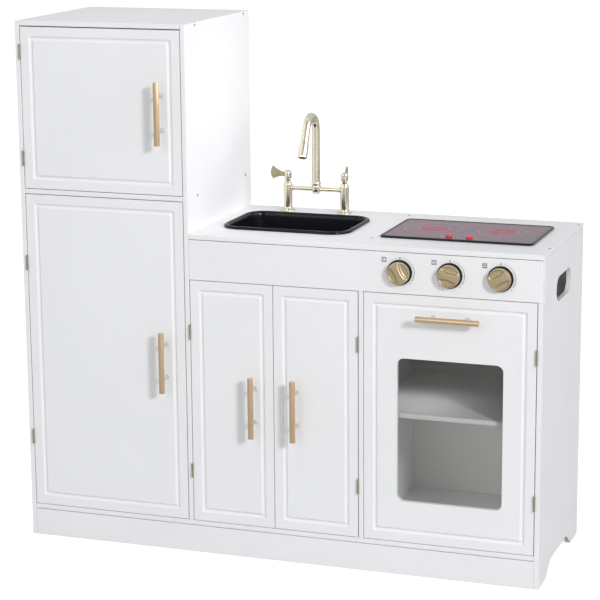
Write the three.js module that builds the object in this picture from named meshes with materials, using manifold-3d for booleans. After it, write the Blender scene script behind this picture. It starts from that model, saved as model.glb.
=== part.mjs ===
// A children's play kitchen: a tall fridge-freezer cabinet on the left and a low run with
// a sink, a hob, a double cupboard and an oven on the right.
// Millimetres, +Z up. The cabinet is laid out from its left front bottom corner, with +X
// to the right and +Y to the back, and the whole group is then moved so that the origin
// is on the floor at the centre of the outer box, handles included.
import * as THREE from 'three';
import { mergeVertices } from 'three/addons/utils/BufferGeometryUtils.js';
import Module from 'manifold-3d';

const wasm = await Module();
wasm.setup();

// ---- overall size ----
const WIDTH = 1010;
const DEPTH = 330;
const HEIGHT = 1000;
const BOARD = 9; // thickness of every painted board
const FIT = 0.3; // gap left where two pieces meet
const WORKTOP_TOP = 615;
const FRIDGE_WIDTH = 340.8; // outer width of the tall unit
const PLINTH_HEIGHT = 53.5; // floor to the underside of the base panel
const APRON_BOTTOM = 530; // lower edge of the control panel
const APRON_RIGHT = WIDTH - 1.5;
const SHADOW_GAP = 1.2; // above the control panel and the plinth board
const BACK_THICKNESS = 3; // thin back boards
const OVEN_WALL_X = 670.25; // left face of the board between cupboard and oven
const FREEZER_FLOOR_Z = 675.5;
const FRIDGE_SHELF_Z = 364;
const OVEN_SHELF_Z = 295;
const OVEN_SHELF_FRONT = 15;

// ---- feet cut into the side panels ----
const ARCH_HEIGHT = 27;
const FRONT_FOOT = 58;
const REAR_FOOT = 272;
const ARCH_RUN = 47; // length of each curved shoulder

// ---- hand hole in the right side ----
const HAND_HOLE = { y: 166, z: 530, length: 122, height: 46 };

// ---- doors ----
const DOOR_GAP = 1.3;
const HINGE_GAP = 1.6;
const GROOVE_INSET = 16.8; // door edge to the groove
const GROOVE_WIDTH = 9;
const GROOVE_DEPTH = 3;
const GROOVE_FLOOR = 1.8; // width of the groove's flat floor
const GROOVE_CORNER = 4;
const OVEN_WINDOW = { x0: 743, x1: 940, z0: 141.5, z1: 411, corner: 13 };
const PANE_LAP = 11; // how far the pane reaches past its opening
const PANE_THICKNESS = 2;

// ---- bar handles ----
const HANDLE_LENGTH = 116;
const HANDLE_RADIUS = 5.5;
const HANDLE_STANDOFF = 26; // door face to the bar's axis
const POST_SPACING = 64;
const POST_RADIUS = 3.4;

// ---- butt hinges ----
const HINGE_LENGTH = 28.5;
const BARREL_RADIUS = 1.9;
const HINGE_AXIS_Y = -2.6;
const PIN_RADIUS = 0.75;
const PIN_BORE_RADIUS = 0.92;
const LEAF_THICKNESS = 0.5;
const LEAF_OFFSET = 0.2; // hinge axis to the near face of a leaf
const LEAF_DEPTH = 10.6; // hinge axis to the leaf's far edge
const KNUCKLES = 3;
const KNUCKLE_GAP = 0.3;
const HINGE_SIDES = 8;

// ---- control knobs ----
const KNOB_Z = 569;
const KNOB_FIRST_X = 748;
const KNOB_PITCH = 92.6;
const BEZEL_RADIUS = 23.2;
const BEZEL_THICKNESS = 4;
const KNOB_RADIUS = 20.5;
const KNOB_FACE = 13; // panel to the knob's flat face
const KNOB_GRIP_HEIGHT = 3.5;
const KNOB_GRIP_WIDTH = 13;
const KNOB_SHAFT_RADIUS = 3.5;
const KNOB_HOLE_RADIUS = 4.2;
const KNOB_SHAFT_TAIL = 5; // shaft showing behind the panel
const KNOB_TURN = [-62, -14, 32]; // resting angle of each grip, degrees from level

// ---- sink ----
const SINK = { x0: 372, x1: 623, y0: 71, y1: 250, corner: 38 };
const SINK_RIM_WIDTH = 8;
const SINK_RIM_HEIGHT = 5.4;
const SINK_WALL = 2.5;
const SINK_BOTTOM = 540;
const CUTOUT_CLEARANCE = 0.8;

// ---- tap ----
const TAP_Y = 292;
const PILLAR_LEFT_X = 432;
const PILLAR_RIGHT_X = 548.5;
const PILLAR_RADIUS = 8.5;
const PILLAR_HEIGHT = 58;
const FLANGE_RADIUS = 14.5;
const FLANGE_HEIGHT = 3.4;
const BRIDGE_RADIUS = 4.2;
const BRIDGE_HEIGHT = 44.5;
const HUB_RADIUS = 9;
const HUB_BOTTOM = 35;
const HUB_TOP = 53;
const SPOUT_RADIUS = 7.6;
const SPOUT_COLLAR_RADIUS = 9;
const SPOUT_COLLAR_TOP = 60;
const SPOUT_BORE_RADIUS = 5.4;
const SPOUT_SPIGOT_RADIUS = 5;
const SPOUT_STRAIGHT_TOP = 161.5; // height of the riser's straight part
const SPOUT_BEND_RADIUS = 28;
const SPOUT_BEND_ANGLE = 155;
const SPOUT_FALL = 32.5; // straight pipe between the bend and the nozzle
const NOZZLE_RADIUS = 8.5;
const NOZZLE_LENGTH = 30;
const LEVER_HUB_RADIUS = 7.4;
const LEVER_HUB_TOP = 80;
const LEVER_AXIS_HEIGHT = 71;
const LEVER_THICKNESS = 3.2;
const LEVER_ROOT = { x: 2, low: -4.2, high: 4.6, neckX: 13, neckLow: -3.8 };
const LEVER_FAN = [ // the blade's curved edges: x and z of each curve's pull, then of its end
  [23, -5.5, 29.5, -10],
  [40, 2, 30.5, 15.8],
  [22, 9, 13, 5],
];
const LEVER_STUD_RADIUS = 2.5;
const LEVER_STUD_TOP = 70;
const LEVER_TURN = [180, 100]; // resting direction of each lever, degrees from +X

// ---- hob ----
const HOB = { x0: 686, x1: 972, y0: 75, y1: 257, corner: 10 };
const HOB_RIM_WIDTH = 5.5;
const HOB_HEIGHT = 4;
const HOB_GLASS_THICKNESS = 2;
const HOB_BOX_INSET = 14;
const HOB_BOX_DEPTH = 18; // worktop surface to the underside of the box
const HOB_WALL = 2;
const BUTTONS = [
  { name: 'hob_button_left', x: 810, y: 102 },
  { name: 'hob_button_right', x: 849, y: 100 },
];
const BUTTON_RADIUS = 6.2;
const BUTTON_FLANGE_RADIUS = 7.8;
const BUTTON_RISE = 5; // button top above the glass
const BUTTON_STEM_RADIUS = 2.5;
const BUTTON_TRAVEL = 1.5;

// ---- materials ----
const paint = (color, roughness, metalness) =>
  new THREE.MeshStandardMaterial({ color, roughness, metalness });
const LACQUER = paint(0xf1f2f5, 0.35, 0);
const HARDBOARD = paint(0xe6e6e4, 0.6, 0);
const BRASS = paint(0xb9ac92, 0.35, 1);
const GOLD = paint(0xc4a477, 0.38, 1);
const CHAMPAGNE = paint(0xcfc9b4, 0.3, 1);
const KNOB_GOLD = paint(0xb5a579, 0.4, 1);
const BLACK_PLASTIC = paint(0x17181b, 0.25, 0);
const PLUM_GLASS = paint(0x7c6670, 0.12, 0);
const RED_PLASTIC = paint(0xd8202a, 0.3, 0);
const SMOKE_PANE = paint(0x9a9c97, 0.1, 0);

const kitchen = new THREE.Group();
const X_AXIS = new THREE.Vector3(1, 0, 0);
const Y_AXIS = new THREE.Vector3(0, 1, 0);
const Z_AXIS = new THREE.Vector3(0, 0, 1);

// ---- making solids ----

function solid(geometry) {
  const bare = geometry.clone();
  bare.deleteAttribute('normal');
  bare.deleteAttribute('uv');
  const welded = mergeVertices(bare);
  return new wasm.Manifold(new wasm.Mesh({
    numProp: 3,
    vertProperties: new Float32Array(welded.attributes.position.array),
    triVerts: new Uint32Array(welded.index.array),
  }));
}

function geometryOf(body) {
  const { vertProperties, triVerts } = body.getMesh();
  const geometry = new THREE.BufferGeometry();
  geometry.setAttribute('position', new THREE.BufferAttribute(vertProperties, 3));
  geometry.setIndex(new THREE.BufferAttribute(triVerts, 1));
  return geometry;
}

function join(...geometries) {
  return geometryOf(geometries.map(solid).reduce((whole, piece) => whole.add(piece)));
}

function cut(geometry, ...cutters) {
  return geometryOf(cutters.map(solid).reduce((whole, piece) => whole.subtract(piece), solid(geometry)));
}

function box(x0, x1, y0, y1, z0, z1) {
  const geometry = new THREE.BoxGeometry(x1 - x0, y1 - y0, z1 - z0);
  return geometry.translate((x0 + x1) / 2, (y0 + y1) / 2, (z0 + z1) / 2);
}

// A cylinder standing on z0 and reaching z1, at x, y.
function post(radius, x, y, z0, z1, sides = 16) {
  const geometry = new THREE.CylinderGeometry(radius, radius, z1 - z0, sides);
  return geometry.rotateX(Math.PI / 2).translate(x, y, (z0 + z1) / 2);
}

// A turned shape: rows of [radius, height], spun about the vertical.
function turned(rows, sides = 16) {
  const profile = rows.map(([radius, height]) => new THREE.Vector2(radius, height));
  return new THREE.LatheGeometry(profile, sides).rotateX(Math.PI / 2);
}

// Turns a shape drawn in X and Z, extruded towards the front, into place.
const frontwards = new THREE.Matrix4().makeBasis(X_AXIS, Z_AXIS, Y_AXIS.clone().negate());
// Turns a shape drawn in Y and Z, extruded to the right, into place.
const sideways = new THREE.Matrix4().makeBasis(Y_AXIS, Z_AXIS, X_AXIS);

function roundedRectangle(x0, x1, y0, y1, radius) {
  const shape = new THREE.Shape();
  shape.moveTo(x0 + radius, y0);
  shape.lineTo(x1 - radius, y0);
  shape.absarc(x1 - radius, y0 + radius, radius, -Math.PI / 2, 0);
  shape.lineTo(x1, y1 - radius);
  shape.absarc(x1 - radius, y1 - radius, radius, 0, Math.PI / 2);
  shape.lineTo(x0 + radius, y1);
  shape.absarc(x0 + radius, y1 - radius, radius, Math.PI / 2, Math.PI);
  shape.lineTo(x0, y0 + radius);
  shape.absarc(x0 + radius, y0 + radius, radius, Math.PI, Math.PI * 1.5);
  return shape;
}

// A rounded block between z0 and z1. The outline is the widest one; each end can be
// drawn in by a rounded or straight edge of the given width and height.
function roundedBlock(outline, z0, z1, edge = null, curveSegments = 5) {
  const { x0, x1, y0, y1, corner } = outline;
  const draw = edge ? edge.width : 0;
  const rise = edge ? edge.height : 0;
  const shape = roundedRectangle(x0 + draw, x1 - draw, y0 + draw, y1 - draw, corner - draw);
  const geometry = new THREE.ExtrudeGeometry(shape, {
    depth: z1 - z0 - 2 * rise,
    curveSegments,
    bevelEnabled: edge !== null,
    bevelThickness: rise,
    bevelSize: draw,
    bevelSegments: edge ? edge.steps : 0,
  });
  return geometry.translate(0, 0, z0 + rise);
}

function inset(outline, by) {
  return {
    x0: outline.x0 + by, x1: outline.x1 - by,
    y0: outline.y0 + by, y1: outline.y1 - by,
    corner: outline.corner - by,
  };
}

function place(name, geometry, material, x = 0, y = 0, z = 0) {
  const mesh = new THREE.Mesh(geometry, material);
  mesh.name = name;
  mesh.position.set(x, y, z);
  kitchen.add(mesh);
  return mesh;
}

// A flat board between two corners.
function board(name, [x0, y0, z0], [x1, y1, z1], material = LACQUER) {
  const geometry = new THREE.BoxGeometry(x1 - x0, y1 - y0, z1 - z0);
  place(name, geometry, material, (x0 + x1) / 2, (y0 + y1) / 2, (z0 + z1) / 2);
}

// ---- carcass ----

// The side's outline in Y and Z, with the arch between its two feet.
function sideOutline(height) {
  const shape = new THREE.Shape();
  shape.moveTo(0, 0);
  shape.lineTo(FRONT_FOOT, 0);
  const front = FRONT_FOOT + ARCH_RUN;
  const rear = REAR_FOOT - ARCH_RUN;
  shape.bezierCurveTo(FRONT_FOOT + 8, 4, front - 15, ARCH_HEIGHT, front, ARCH_HEIGHT);
  shape.lineTo(rear, ARCH_HEIGHT);
  shape.bezierCurveTo(rear + 15, ARCH_HEIGHT, REAR_FOOT - 8, 4, REAR_FOOT, 0);
  shape.lineTo(DEPTH, 0);
  shape.lineTo(DEPTH, height);
  return shape;
}

function leftSide() {
  const shape = sideOutline(HEIGHT);
  shape.lineTo(0, HEIGHT);
  const geometry = new THREE.ExtrudeGeometry(shape, { depth: BOARD, bevelEnabled: false, curveSegments: 6 });
  place('left_side_panel', geometry.applyMatrix4(sideways), LACQUER);
}

// The right side is notched at its top front corner, where the control panel crosses it.
function rightSide() {
  const top = WORKTOP_TOP - BOARD - FIT;
  const shape = sideOutline(top);
  shape.lineTo(BOARD + FIT, top);
  shape.lineTo(BOARD + FIT, APRON_BOTTOM - FIT);
  shape.lineTo(0, APRON_BOTTOM - FIT);
  const half = HAND_HOLE.height / 2;
  const reach = HAND_HOLE.length / 2 - half;
  const hole = new THREE.Path();
  hole.absarc(HAND_HOLE.y + reach, HAND_HOLE.z, half, -Math.PI / 2, Math.PI / 2);
  hole.absarc(HAND_HOLE.y - reach, HAND_HOLE.z, half, Math.PI / 2, Math.PI * 1.5);
  shape.holes.push(hole);
  const geometry = new THREE.ExtrudeGeometry(shape, { depth: BOARD, bevelEnabled: false, curveSegments: 6 });
  place('right_side_panel', geometry.applyMatrix4(sideways), LACQUER, WIDTH - BOARD, 0, 0);
}

function ovenWall() {
  const top = WORKTOP_TOP - BOARD - FIT;
  const shape = new THREE.Shape();
  shape.moveTo(0, PLINTH_HEIGHT + BOARD + FIT);
  shape.lineTo(DEPTH - BACK_THICKNESS - FIT, PLINTH_HEIGHT + BOARD + FIT);
  shape.lineTo(DEPTH - BACK_THICKNESS - FIT, top);
  shape.lineTo(BOARD + FIT, top);
  shape.lineTo(BOARD + FIT, APRON_BOTTOM - FIT);
  shape.lineTo(0, APRON_BOTTOM - FIT);
  const geometry = new THREE.ExtrudeGeometry(shape, { depth: BOARD, bevelEnabled: false });
  place('oven_partition', geometry.applyMatrix4(sideways), LACQUER, OVEN_WALL_X, 0, 0);
}

function carcass() {
  const left = BOARD + FIT;
  const right = WIDTH - BOARD - FIT;
  const fridgeRight = FRIDGE_WIDTH - BOARD - FIT;
  const kitchenLeft = FRIDGE_WIDTH + FIT;
  const ovenLeft = OVEN_WALL_X + BOARD + FIT;
  const baseTop = PLINTH_HEIGHT + BOARD;
  const innerDepth = DEPTH - BACK_THICKNESS - FIT;
  const underWorktop = WORKTOP_TOP - BOARD - FIT;
  leftSide();
  rightSide();
  ovenWall();
  board('plinth_board', [left, 0, 0], [right, BOARD, PLINTH_HEIGHT - SHADOW_GAP]);
  board('base_panel', [left, 0, PLINTH_HEIGHT], [right, DEPTH, baseTop]);
  board('fridge_right_panel', [FRIDGE_WIDTH - BOARD, 0, baseTop + FIT], [FRIDGE_WIDTH, DEPTH, HEIGHT]);
  board('fridge_top_panel', [left, 0, HEIGHT - BOARD], [fridgeRight, DEPTH, HEIGHT]);
  board('freezer_floor_panel', [left, 0, FREEZER_FLOOR_Z], [fridgeRight, innerDepth, FREEZER_FLOOR_Z + BOARD]);
  board('fridge_shelf', [left, OVEN_SHELF_FRONT, FRIDGE_SHELF_Z], [fridgeRight, innerDepth, FRIDGE_SHELF_Z + BOARD]);
  board('oven_shelf', [ovenLeft, OVEN_SHELF_FRONT, OVEN_SHELF_Z], [right, innerDepth, OVEN_SHELF_Z + BOARD]);
  board('fridge_back_panel', [left, DEPTH - BACK_THICKNESS, baseTop + FIT],
    [fridgeRight, DEPTH, HEIGHT - BOARD - FIT], HARDBOARD);
  board('kitchen_back_panel', [kitchenLeft, DEPTH - BACK_THICKNESS, baseTop + FIT],
    [right, DEPTH, underWorktop], HARDBOARD);
}

function worktop() {
  const slab = box(FRIDGE_WIDTH + FIT, WIDTH, 0, DEPTH, WORKTOP_TOP - BOARD, WORKTOP_TOP);
  const below = WORKTOP_TOP - BOARD - 5;
  const above = WORKTOP_TOP + 5;
  const sinkHole = roundedBlock(inset(SINK, SINK_RIM_WIDTH - CUTOUT_CLEARANCE), below, above);
  const hobHole = roundedBlock(hobBoxOutline(-CUTOUT_CLEARANCE), below, above, null, 2);
  place('worktop', cut(slab, sinkHole, hobHole), LACQUER);
}

function controlPanel() {
  const panel = box(FRIDGE_WIDTH + FIT, APRON_RIGHT, 0, BOARD, APRON_BOTTOM, WORKTOP_TOP - BOARD - SHADOW_GAP);
  const holes = KNOB_TURN.map((_, n) => {
    const hole = post(KNOB_HOLE_RADIUS, 0, 0, -5, BOARD + 5, 12);
    return hole.rotateX(-Math.PI / 2).translate(KNOB_FIRST_X + n * KNOB_PITCH, 0, KNOB_Z);
  });
  place('control_panel', cut(panel, ...holes), LACQUER);
}

// ---- doors ----

// The tool path of a door's groove, drawn lying down with the door's face at height 0:
// a pit with sloping walls, less the raised field that stays in its middle.
function grooveCutter(width, height) {
  const wall = (GROOVE_WIDTH - GROOVE_FLOOR) / 2;
  const outer = {
    x0: GROOVE_INSET, x1: width - GROOVE_INSET,
    y0: GROOVE_INSET, y1: height - GROOVE_INSET, corner: GROOVE_CORNER,
  };
  const field = { ...inset(outer, wall + GROOVE_FLOOR), corner: GROOVE_CORNER };
  const edge = { width: wall, height: GROOVE_DEPTH, steps: 1 };
  const reach = 3 * GROOVE_DEPTH;
  const pit = roundedBlock(outer, -GROOVE_DEPTH, reach, edge, 2);
  const core = roundedBlock(field, -reach, 0, edge, 2);
  return cut(pit, core);
}

// A grooved door in X and Z, its front face on Y = 0 and its left bottom corner at 0, 0.
function doorGeometry(width, height) {
  const slab = box(0, width, 0, BOARD, 0, height);
  return cut(slab, grooveCutter(width, height).applyMatrix4(frontwards));
}

function handle(name, x, z, level) {
  const half = HANDLE_LENGTH / 2;
  const bar = post(HANDLE_RADIUS, 0, -HANDLE_STANDOFF, -half, half, 12);
  const legs = [-1, 1].map((side) => {
    const leg = post(POST_RADIUS, 0, 0, FIT, HANDLE_STANDOFF, 10);
    return leg.rotateX(Math.PI / 2).translate(0, 0, (side * POST_SPACING) / 2);
  });
  const mesh = place(name, join(bar, ...legs), GOLD, x, 0, z);
  mesh.rotation.y = level ? Math.PI / 2 : 0;
}

// One butt hinge. Its axis is vertical at x; toDoor is +1 when the door lies to the
// right of the axis. The frame leaf carries the pin, the door leaf turns on it.
function hinge(name, x, z, toDoor) {
  const knuckle = (HINGE_LENGTH - (KNUCKLES - 1) * KNUCKLE_GAP) / KNUCKLES;
  const low = -HINGE_LENGTH / 2;
  const high = HINGE_LENGTH / 2;
  const near = LEAF_OFFSET;
  const far = LEAF_OFFSET + LEAF_THICKNESS;
  const clear = BARREL_RADIUS + KNUCKLE_GAP;
  const plate = (side) => {
    const xs = [side * near, side * far].sort((a, b) => a - b);
    return (z0, z1, y0) => box(xs[0], xs[1], y0, LEAF_DEPTH, z0, z1);
  };
  const barrel = (z0, z1, radius) => post(radius, 0, 0, z0, z1, HINGE_SIDES);
  const framePlate = plate(-toDoor);
  const doorPlate = plate(toDoor);
  const frameLeaf = join(
    framePlate(low, high, clear),
    framePlate(low, low + knuckle, 1),
    framePlate(high - knuckle, high, 1),
    barrel(low, low + knuckle, BARREL_RADIUS),
    barrel(high - knuckle, high, BARREL_RADIUS),
    barrel(low + 1, high - 1, PIN_RADIUS),
  );
  const middle = low + knuckle + KNUCKLE_GAP;
  const doorLeaf = cut(
    join(
      doorPlate(low, high, clear),
      doorPlate(middle, middle + knuckle, 1),
      barrel(middle, middle + knuckle, BARREL_RADIUS),
    ),
    barrel(low - 1, high + 1, PIN_BORE_RADIUS),
  );
  place(`${name}_frame_leaf`, frameLeaf, BRASS, x, HINGE_AXIS_Y, z);
  place(`${name}_door_leaf`, doorLeaf, BRASS, x, HINGE_AXIS_Y, z);
}

// A door hung in an opening, with its two hinges. hingeSide is 'left' or 'right'.
function hungDoor(name, opening, hingeSide, hingeHeights) {
  const onLeft = hingeSide === 'left';
  const x0 = opening.x0 + (onLeft ? HINGE_GAP : opening.freeGap);
  const x1 = opening.x1 - (onLeft ? opening.freeGap : HINGE_GAP);
  const z0 = opening.z0 + DOOR_GAP;
  const z1 = opening.z1 - (opening.topGap ?? DOOR_GAP);
  const axis = onLeft ? opening.x0 + HINGE_GAP / 2 : opening.x1 - HINGE_GAP / 2;
  hinge(`${name}_upper_hinge`, axis, hingeHeights[0], onLeft ? 1 : -1);
  hinge(`${name}_lower_hinge`, axis, hingeHeights[1], onLeft ? 1 : -1);
  return { x0, x1, z0, z1, geometry: doorGeometry(x1 - x0, z1 - z0) };
}

function doors() {
  const fridge = { x0: BOARD, x1: FRIDGE_WIDTH - BOARD, freeGap: DOOR_GAP };
  const low = { z0: PLINTH_HEIGHT + BOARD, z1: APRON_BOTTOM };
  const middle = (FRIDGE_WIDTH + OVEN_WALL_X) / 2;
  const plain = {
    freezer_door: {
      opening: { ...fridge, z0: FREEZER_FLOOR_Z + BOARD, z1: HEIGHT - BOARD, topGap: 2 },
      side: 'left', hinges: [943, 743],
    },
    fridge_door: {
      opening: { ...fridge, z0: PLINTH_HEIGHT + BOARD, z1: FREEZER_FLOOR_Z },
      side: 'left', hinges: [542.5, 199.5],
    },
    cupboard_door_left: {
      opening: { ...low, x0: FRIDGE_WIDTH, x1: middle, freeGap: DOOR_GAP / 2 },
      side: 'left', hinges: [430.5, 162],
    },
    cupboard_door_right: {
      opening: { ...low, x0: middle, x1: OVEN_WALL_X, freeGap: DOOR_GAP / 2 },
      side: 'right', hinges: [430.5, 162],
    },
  };
  for (const [name, { opening, side, hinges }] of Object.entries(plain)) {
    const { x0, z0, geometry } = hungDoor(name, opening, side, hinges);
    place(name, geometry, LACQUER, x0, 0, z0);
  }
  ovenDoor(low);
}

function ovenDoor(low) {
  const opening = { ...low, x0: OVEN_WALL_X + BOARD, x1: WIDTH - BOARD, freeGap: DOOR_GAP };
  const door = hungDoor('oven_door', opening, 'right', [430.5, 162]);
  const { x0, x1, z0, z1, corner } = OVEN_WINDOW;
  const hole = new THREE.ExtrudeGeometry(
    roundedRectangle(x0 - door.x0, x1 - door.x0, z0 - door.z0, z1 - door.z0, corner),
    { depth: 3 * BOARD, bevelEnabled: false, curveSegments: 5 },
  ).applyMatrix4(frontwards).translate(0, 2 * BOARD, 0);
  place('oven_door', cut(door.geometry, hole), LACQUER, door.x0, 0, door.z0);
  board('oven_window',
    [x0 - PANE_LAP, BOARD + FIT, z0 - PANE_LAP],
    [x1 + PANE_LAP, BOARD + FIT + PANE_THICKNESS, z1 + PANE_LAP], SMOKE_PANE);
}

function handles() {
  handle('freezer_handle', 293.5, 838.5, false);
  handle('fridge_handle', 292.5, 372, false);
  handle('cupboard_handle_left', 469, 299.5, false);
  handle('cupboard_handle_right', 551, 299.5, false);
  handle('oven_handle', 842.8, 491, true);
}

// ---- knobs ----

function bezel(n) {
  const ring = turned([
    [KNOB_HOLE_RADIUS, 0], [BEZEL_RADIUS, 0], [BEZEL_RADIUS, BEZEL_THICKNESS - 1],
    [BEZEL_RADIUS - 1, BEZEL_THICKNESS], [KNOB_HOLE_RADIUS, BEZEL_THICKNESS], [KNOB_HOLE_RADIUS, 0],
  ], 24);
  place(`knob_bezel_${n + 1}`, ring.rotateX(Math.PI / 2), BLACK_PLASTIC, KNOB_FIRST_X + n * KNOB_PITCH, -FIT, KNOB_Z);
}

function knob(n) {
  const back = BEZEL_THICKNESS + 2 * FIT;
  const body = turned([
    [0, back], [KNOB_RADIUS - 0.8, back], [KNOB_RADIUS, back + 0.8],
    [KNOB_RADIUS, KNOB_FACE - 1.2], [KNOB_RADIUS - 1.2, KNOB_FACE], [0, KNOB_FACE],
  ], 24);
  const half = KNOB_GRIP_WIDTH / 2;
  const grip = roundedBlock(
    { x0: -KNOB_RADIUS + 2, x1: KNOB_RADIUS - 2, y0: -half, y1: half, corner: half - 0.1 },
    KNOB_FACE - 3, KNOB_FACE + KNOB_GRIP_HEIGHT, { width: 1.4, height: 1.4, steps: 1 }, 3,
  );
  const shaft = post(KNOB_SHAFT_RADIUS, 0, 0, -BOARD - KNOB_SHAFT_TAIL, back + 1, 12);
  const whole = join(body, grip, shaft).rotateX(Math.PI / 2);
  const mesh = place(`knob_${n + 1}`, whole, KNOB_GOLD, KNOB_FIRST_X + n * KNOB_PITCH, 0, KNOB_Z);
  mesh.rotation.y = THREE.MathUtils.degToRad(-KNOB_TURN[n]);
}

function knobs() {
  KNOB_TURN.forEach((_, n) => {
    bezel(n);
    knob(n);
  });
}

// ---- sink ----

function sink() {
  const seat = WORKTOP_TOP + FIT;
  const rim = roundedBlock(SINK, seat, seat + SINK_RIM_HEIGHT, { width: 2.5, height: 2.4, steps: 1 });
  const bowlOutline = inset(SINK, SINK_RIM_WIDTH);
  const foot = { width: 9, height: 9, steps: 2 };
  const bowl = roundedBlock(bowlOutline, SINK_BOTTOM, seat + 3 + foot.height, foot);
  const shell = join(rim, cut(bowl, box(0, WIDTH, 0, DEPTH, seat + 3, WORKTOP_TOP + 50)));
  const hollowOutline = inset(bowlOutline, SINK_WALL);
  const hollow = roundedBlock(hollowOutline, SINK_BOTTOM + SINK_WALL, WORKTOP_TOP + 30, foot);
  place('sink_basin', cut(shell, hollow), BLACK_PLASTIC);
}

// ---- tap ----

function tapBody() {
  const pillar = (x) => turned([
    [0, 0], [FLANGE_RADIUS, 0], [FLANGE_RADIUS, FLANGE_HEIGHT - 1.2], [FLANGE_RADIUS - 2, FLANGE_HEIGHT],
    [PILLAR_RADIUS + 0.6, FLANGE_HEIGHT + 2], [PILLAR_RADIUS, FLANGE_HEIGHT + 4],
    [PILLAR_RADIUS, PILLAR_HEIGHT - 6], [LEVER_HUB_RADIUS - 2, PILLAR_HEIGHT],
    [LEVER_STUD_RADIUS, PILLAR_HEIGHT], [LEVER_STUD_RADIUS, LEVER_STUD_TOP], [0, LEVER_STUD_TOP],
  ]).translate(x, 0, 0);
  const centre = (PILLAR_LEFT_X + PILLAR_RIGHT_X) / 2;
  const bridge = post(BRIDGE_RADIUS, 0, 0, PILLAR_LEFT_X, PILLAR_RIGHT_X, 12)
    .rotateY(Math.PI / 2).translate(0, 0, BRIDGE_HEIGHT);
  const hub = turned([
    [0, HUB_BOTTOM], [HUB_RADIUS - 2, HUB_BOTTOM], [HUB_RADIUS, HUB_BOTTOM + 2], [HUB_RADIUS, HUB_TOP], [0, HUB_TOP],
  ]).translate(centre, 0, 0);
  const bore = post(SPOUT_BORE_RADIUS, centre, 0, HUB_BOTTOM + 5, HUB_TOP + 5);
  const body = cut(join(pillar(PILLAR_LEFT_X), pillar(PILLAR_RIGHT_X), bridge, hub), bore);
  place('faucet_body', body, CHAMPAGNE, 0, TAP_Y, WORKTOP_TOP + FIT);
}

// The spout's centre line: up the riser, round the bend and down to the nozzle.
class SpoutLine extends THREE.Curve {
  constructor(bottom) {
    super();
    this.bottom = bottom;
    this.rise = SPOUT_STRAIGHT_TOP - bottom;
    this.bend = SPOUT_BEND_RADIUS * THREE.MathUtils.degToRad(SPOUT_BEND_ANGLE);
    this.length = this.rise + this.bend + SPOUT_FALL;
  }

  getPoint(t, target = new THREE.Vector3()) {
    const along = t * this.length;
    if (along <= this.rise) {
      return target.set(0, 0, this.bottom + along);
    }
    const angle = Math.min(along - this.rise, this.bend) / SPOUT_BEND_RADIUS;
    const fall = Math.max(0, along - this.rise - this.bend);
    return target.set(
      0,
      SPOUT_BEND_RADIUS * (Math.cos(angle) - 1) - fall * Math.sin(angle),
      SPOUT_STRAIGHT_TOP + SPOUT_BEND_RADIUS * Math.sin(angle) + fall * Math.cos(angle),
    );
  }
}

function spout() {
  const line = new SpoutLine(SPOUT_COLLAR_TOP - 2);
  const section = new THREE.Shape().absarc(0, 0, SPOUT_RADIUS, 0, 2 * Math.PI);
  const pipe = new THREE.ExtrudeGeometry(section, {
    steps: 24, curveSegments: 6, bevelEnabled: false, extrudePath: line,
  });
  const collar = turned([
    [0, HUB_BOTTOM + 6], [SPOUT_SPIGOT_RADIUS, HUB_BOTTOM + 6], [SPOUT_SPIGOT_RADIUS, HUB_TOP + FIT],
    [SPOUT_COLLAR_RADIUS, HUB_TOP + FIT], [SPOUT_COLLAR_RADIUS, SPOUT_COLLAR_TOP - 1.5],
    [SPOUT_COLLAR_RADIUS - 1, SPOUT_COLLAR_TOP], [0, SPOUT_COLLAR_TOP],
  ]);
  const nozzle = turned([
    [0, -2], [SPOUT_RADIUS + 0.2, -2], [NOZZLE_RADIUS, 2], [NOZZLE_RADIUS + 0.4, NOZZLE_LENGTH - 3],
    [NOZZLE_RADIUS - 0.4, NOZZLE_LENGTH], [NOZZLE_RADIUS - 3, NOZZLE_LENGTH],
    [NOZZLE_RADIUS - 3, NOZZLE_LENGTH - 6], [0, NOZZLE_LENGTH - 6],
  ]).rotateX(THREE.MathUtils.degToRad(SPOUT_BEND_ANGLE));
  const end = line.getPoint(1);
  nozzle.translate(end.x, end.y, end.z);
  const centre = (PILLAR_LEFT_X + PILLAR_RIGHT_X) / 2;
  place('faucet_spout', join(pipe, collar, nozzle), CHAMPAGNE, centre, TAP_Y, WORKTOP_TOP + FIT);
}

// A lever drawn along +X from its hub: a narrow neck that widens into a flat fan.
function leverGeometry() {
  const fan = new THREE.Shape();
  fan.moveTo(LEVER_ROOT.x, LEVER_ROOT.low);
  fan.lineTo(LEVER_ROOT.neckX, LEVER_ROOT.neckLow);
  for (const edge of LEVER_FAN) fan.quadraticCurveTo(...edge);
  fan.lineTo(LEVER_ROOT.x, LEVER_ROOT.high);
  const blade = new THREE.ExtrudeGeometry(fan, { depth: LEVER_THICKNESS, bevelEnabled: false, curveSegments: 5 })
    .applyMatrix4(frontwards).translate(0, LEVER_THICKNESS / 2, LEVER_AXIS_HEIGHT);
  const bottom = PILLAR_HEIGHT + FIT;
  const hub = turned([
    [0, bottom], [LEVER_HUB_RADIUS - 2.2, bottom], [LEVER_HUB_RADIUS - 2.2, bottom + 4], [LEVER_HUB_RADIUS, bottom + 6],
    [LEVER_HUB_RADIUS, LEVER_HUB_TOP - 4], [LEVER_HUB_RADIUS - 2, LEVER_HUB_TOP - 1], [0, LEVER_HUB_TOP],
  ], 16);
  const bore = post(LEVER_STUD_RADIUS + FIT, 0, 0, bottom - 2, LEVER_STUD_TOP + FIT, 20);
  return cut(join(hub, blade), bore);
}

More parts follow.
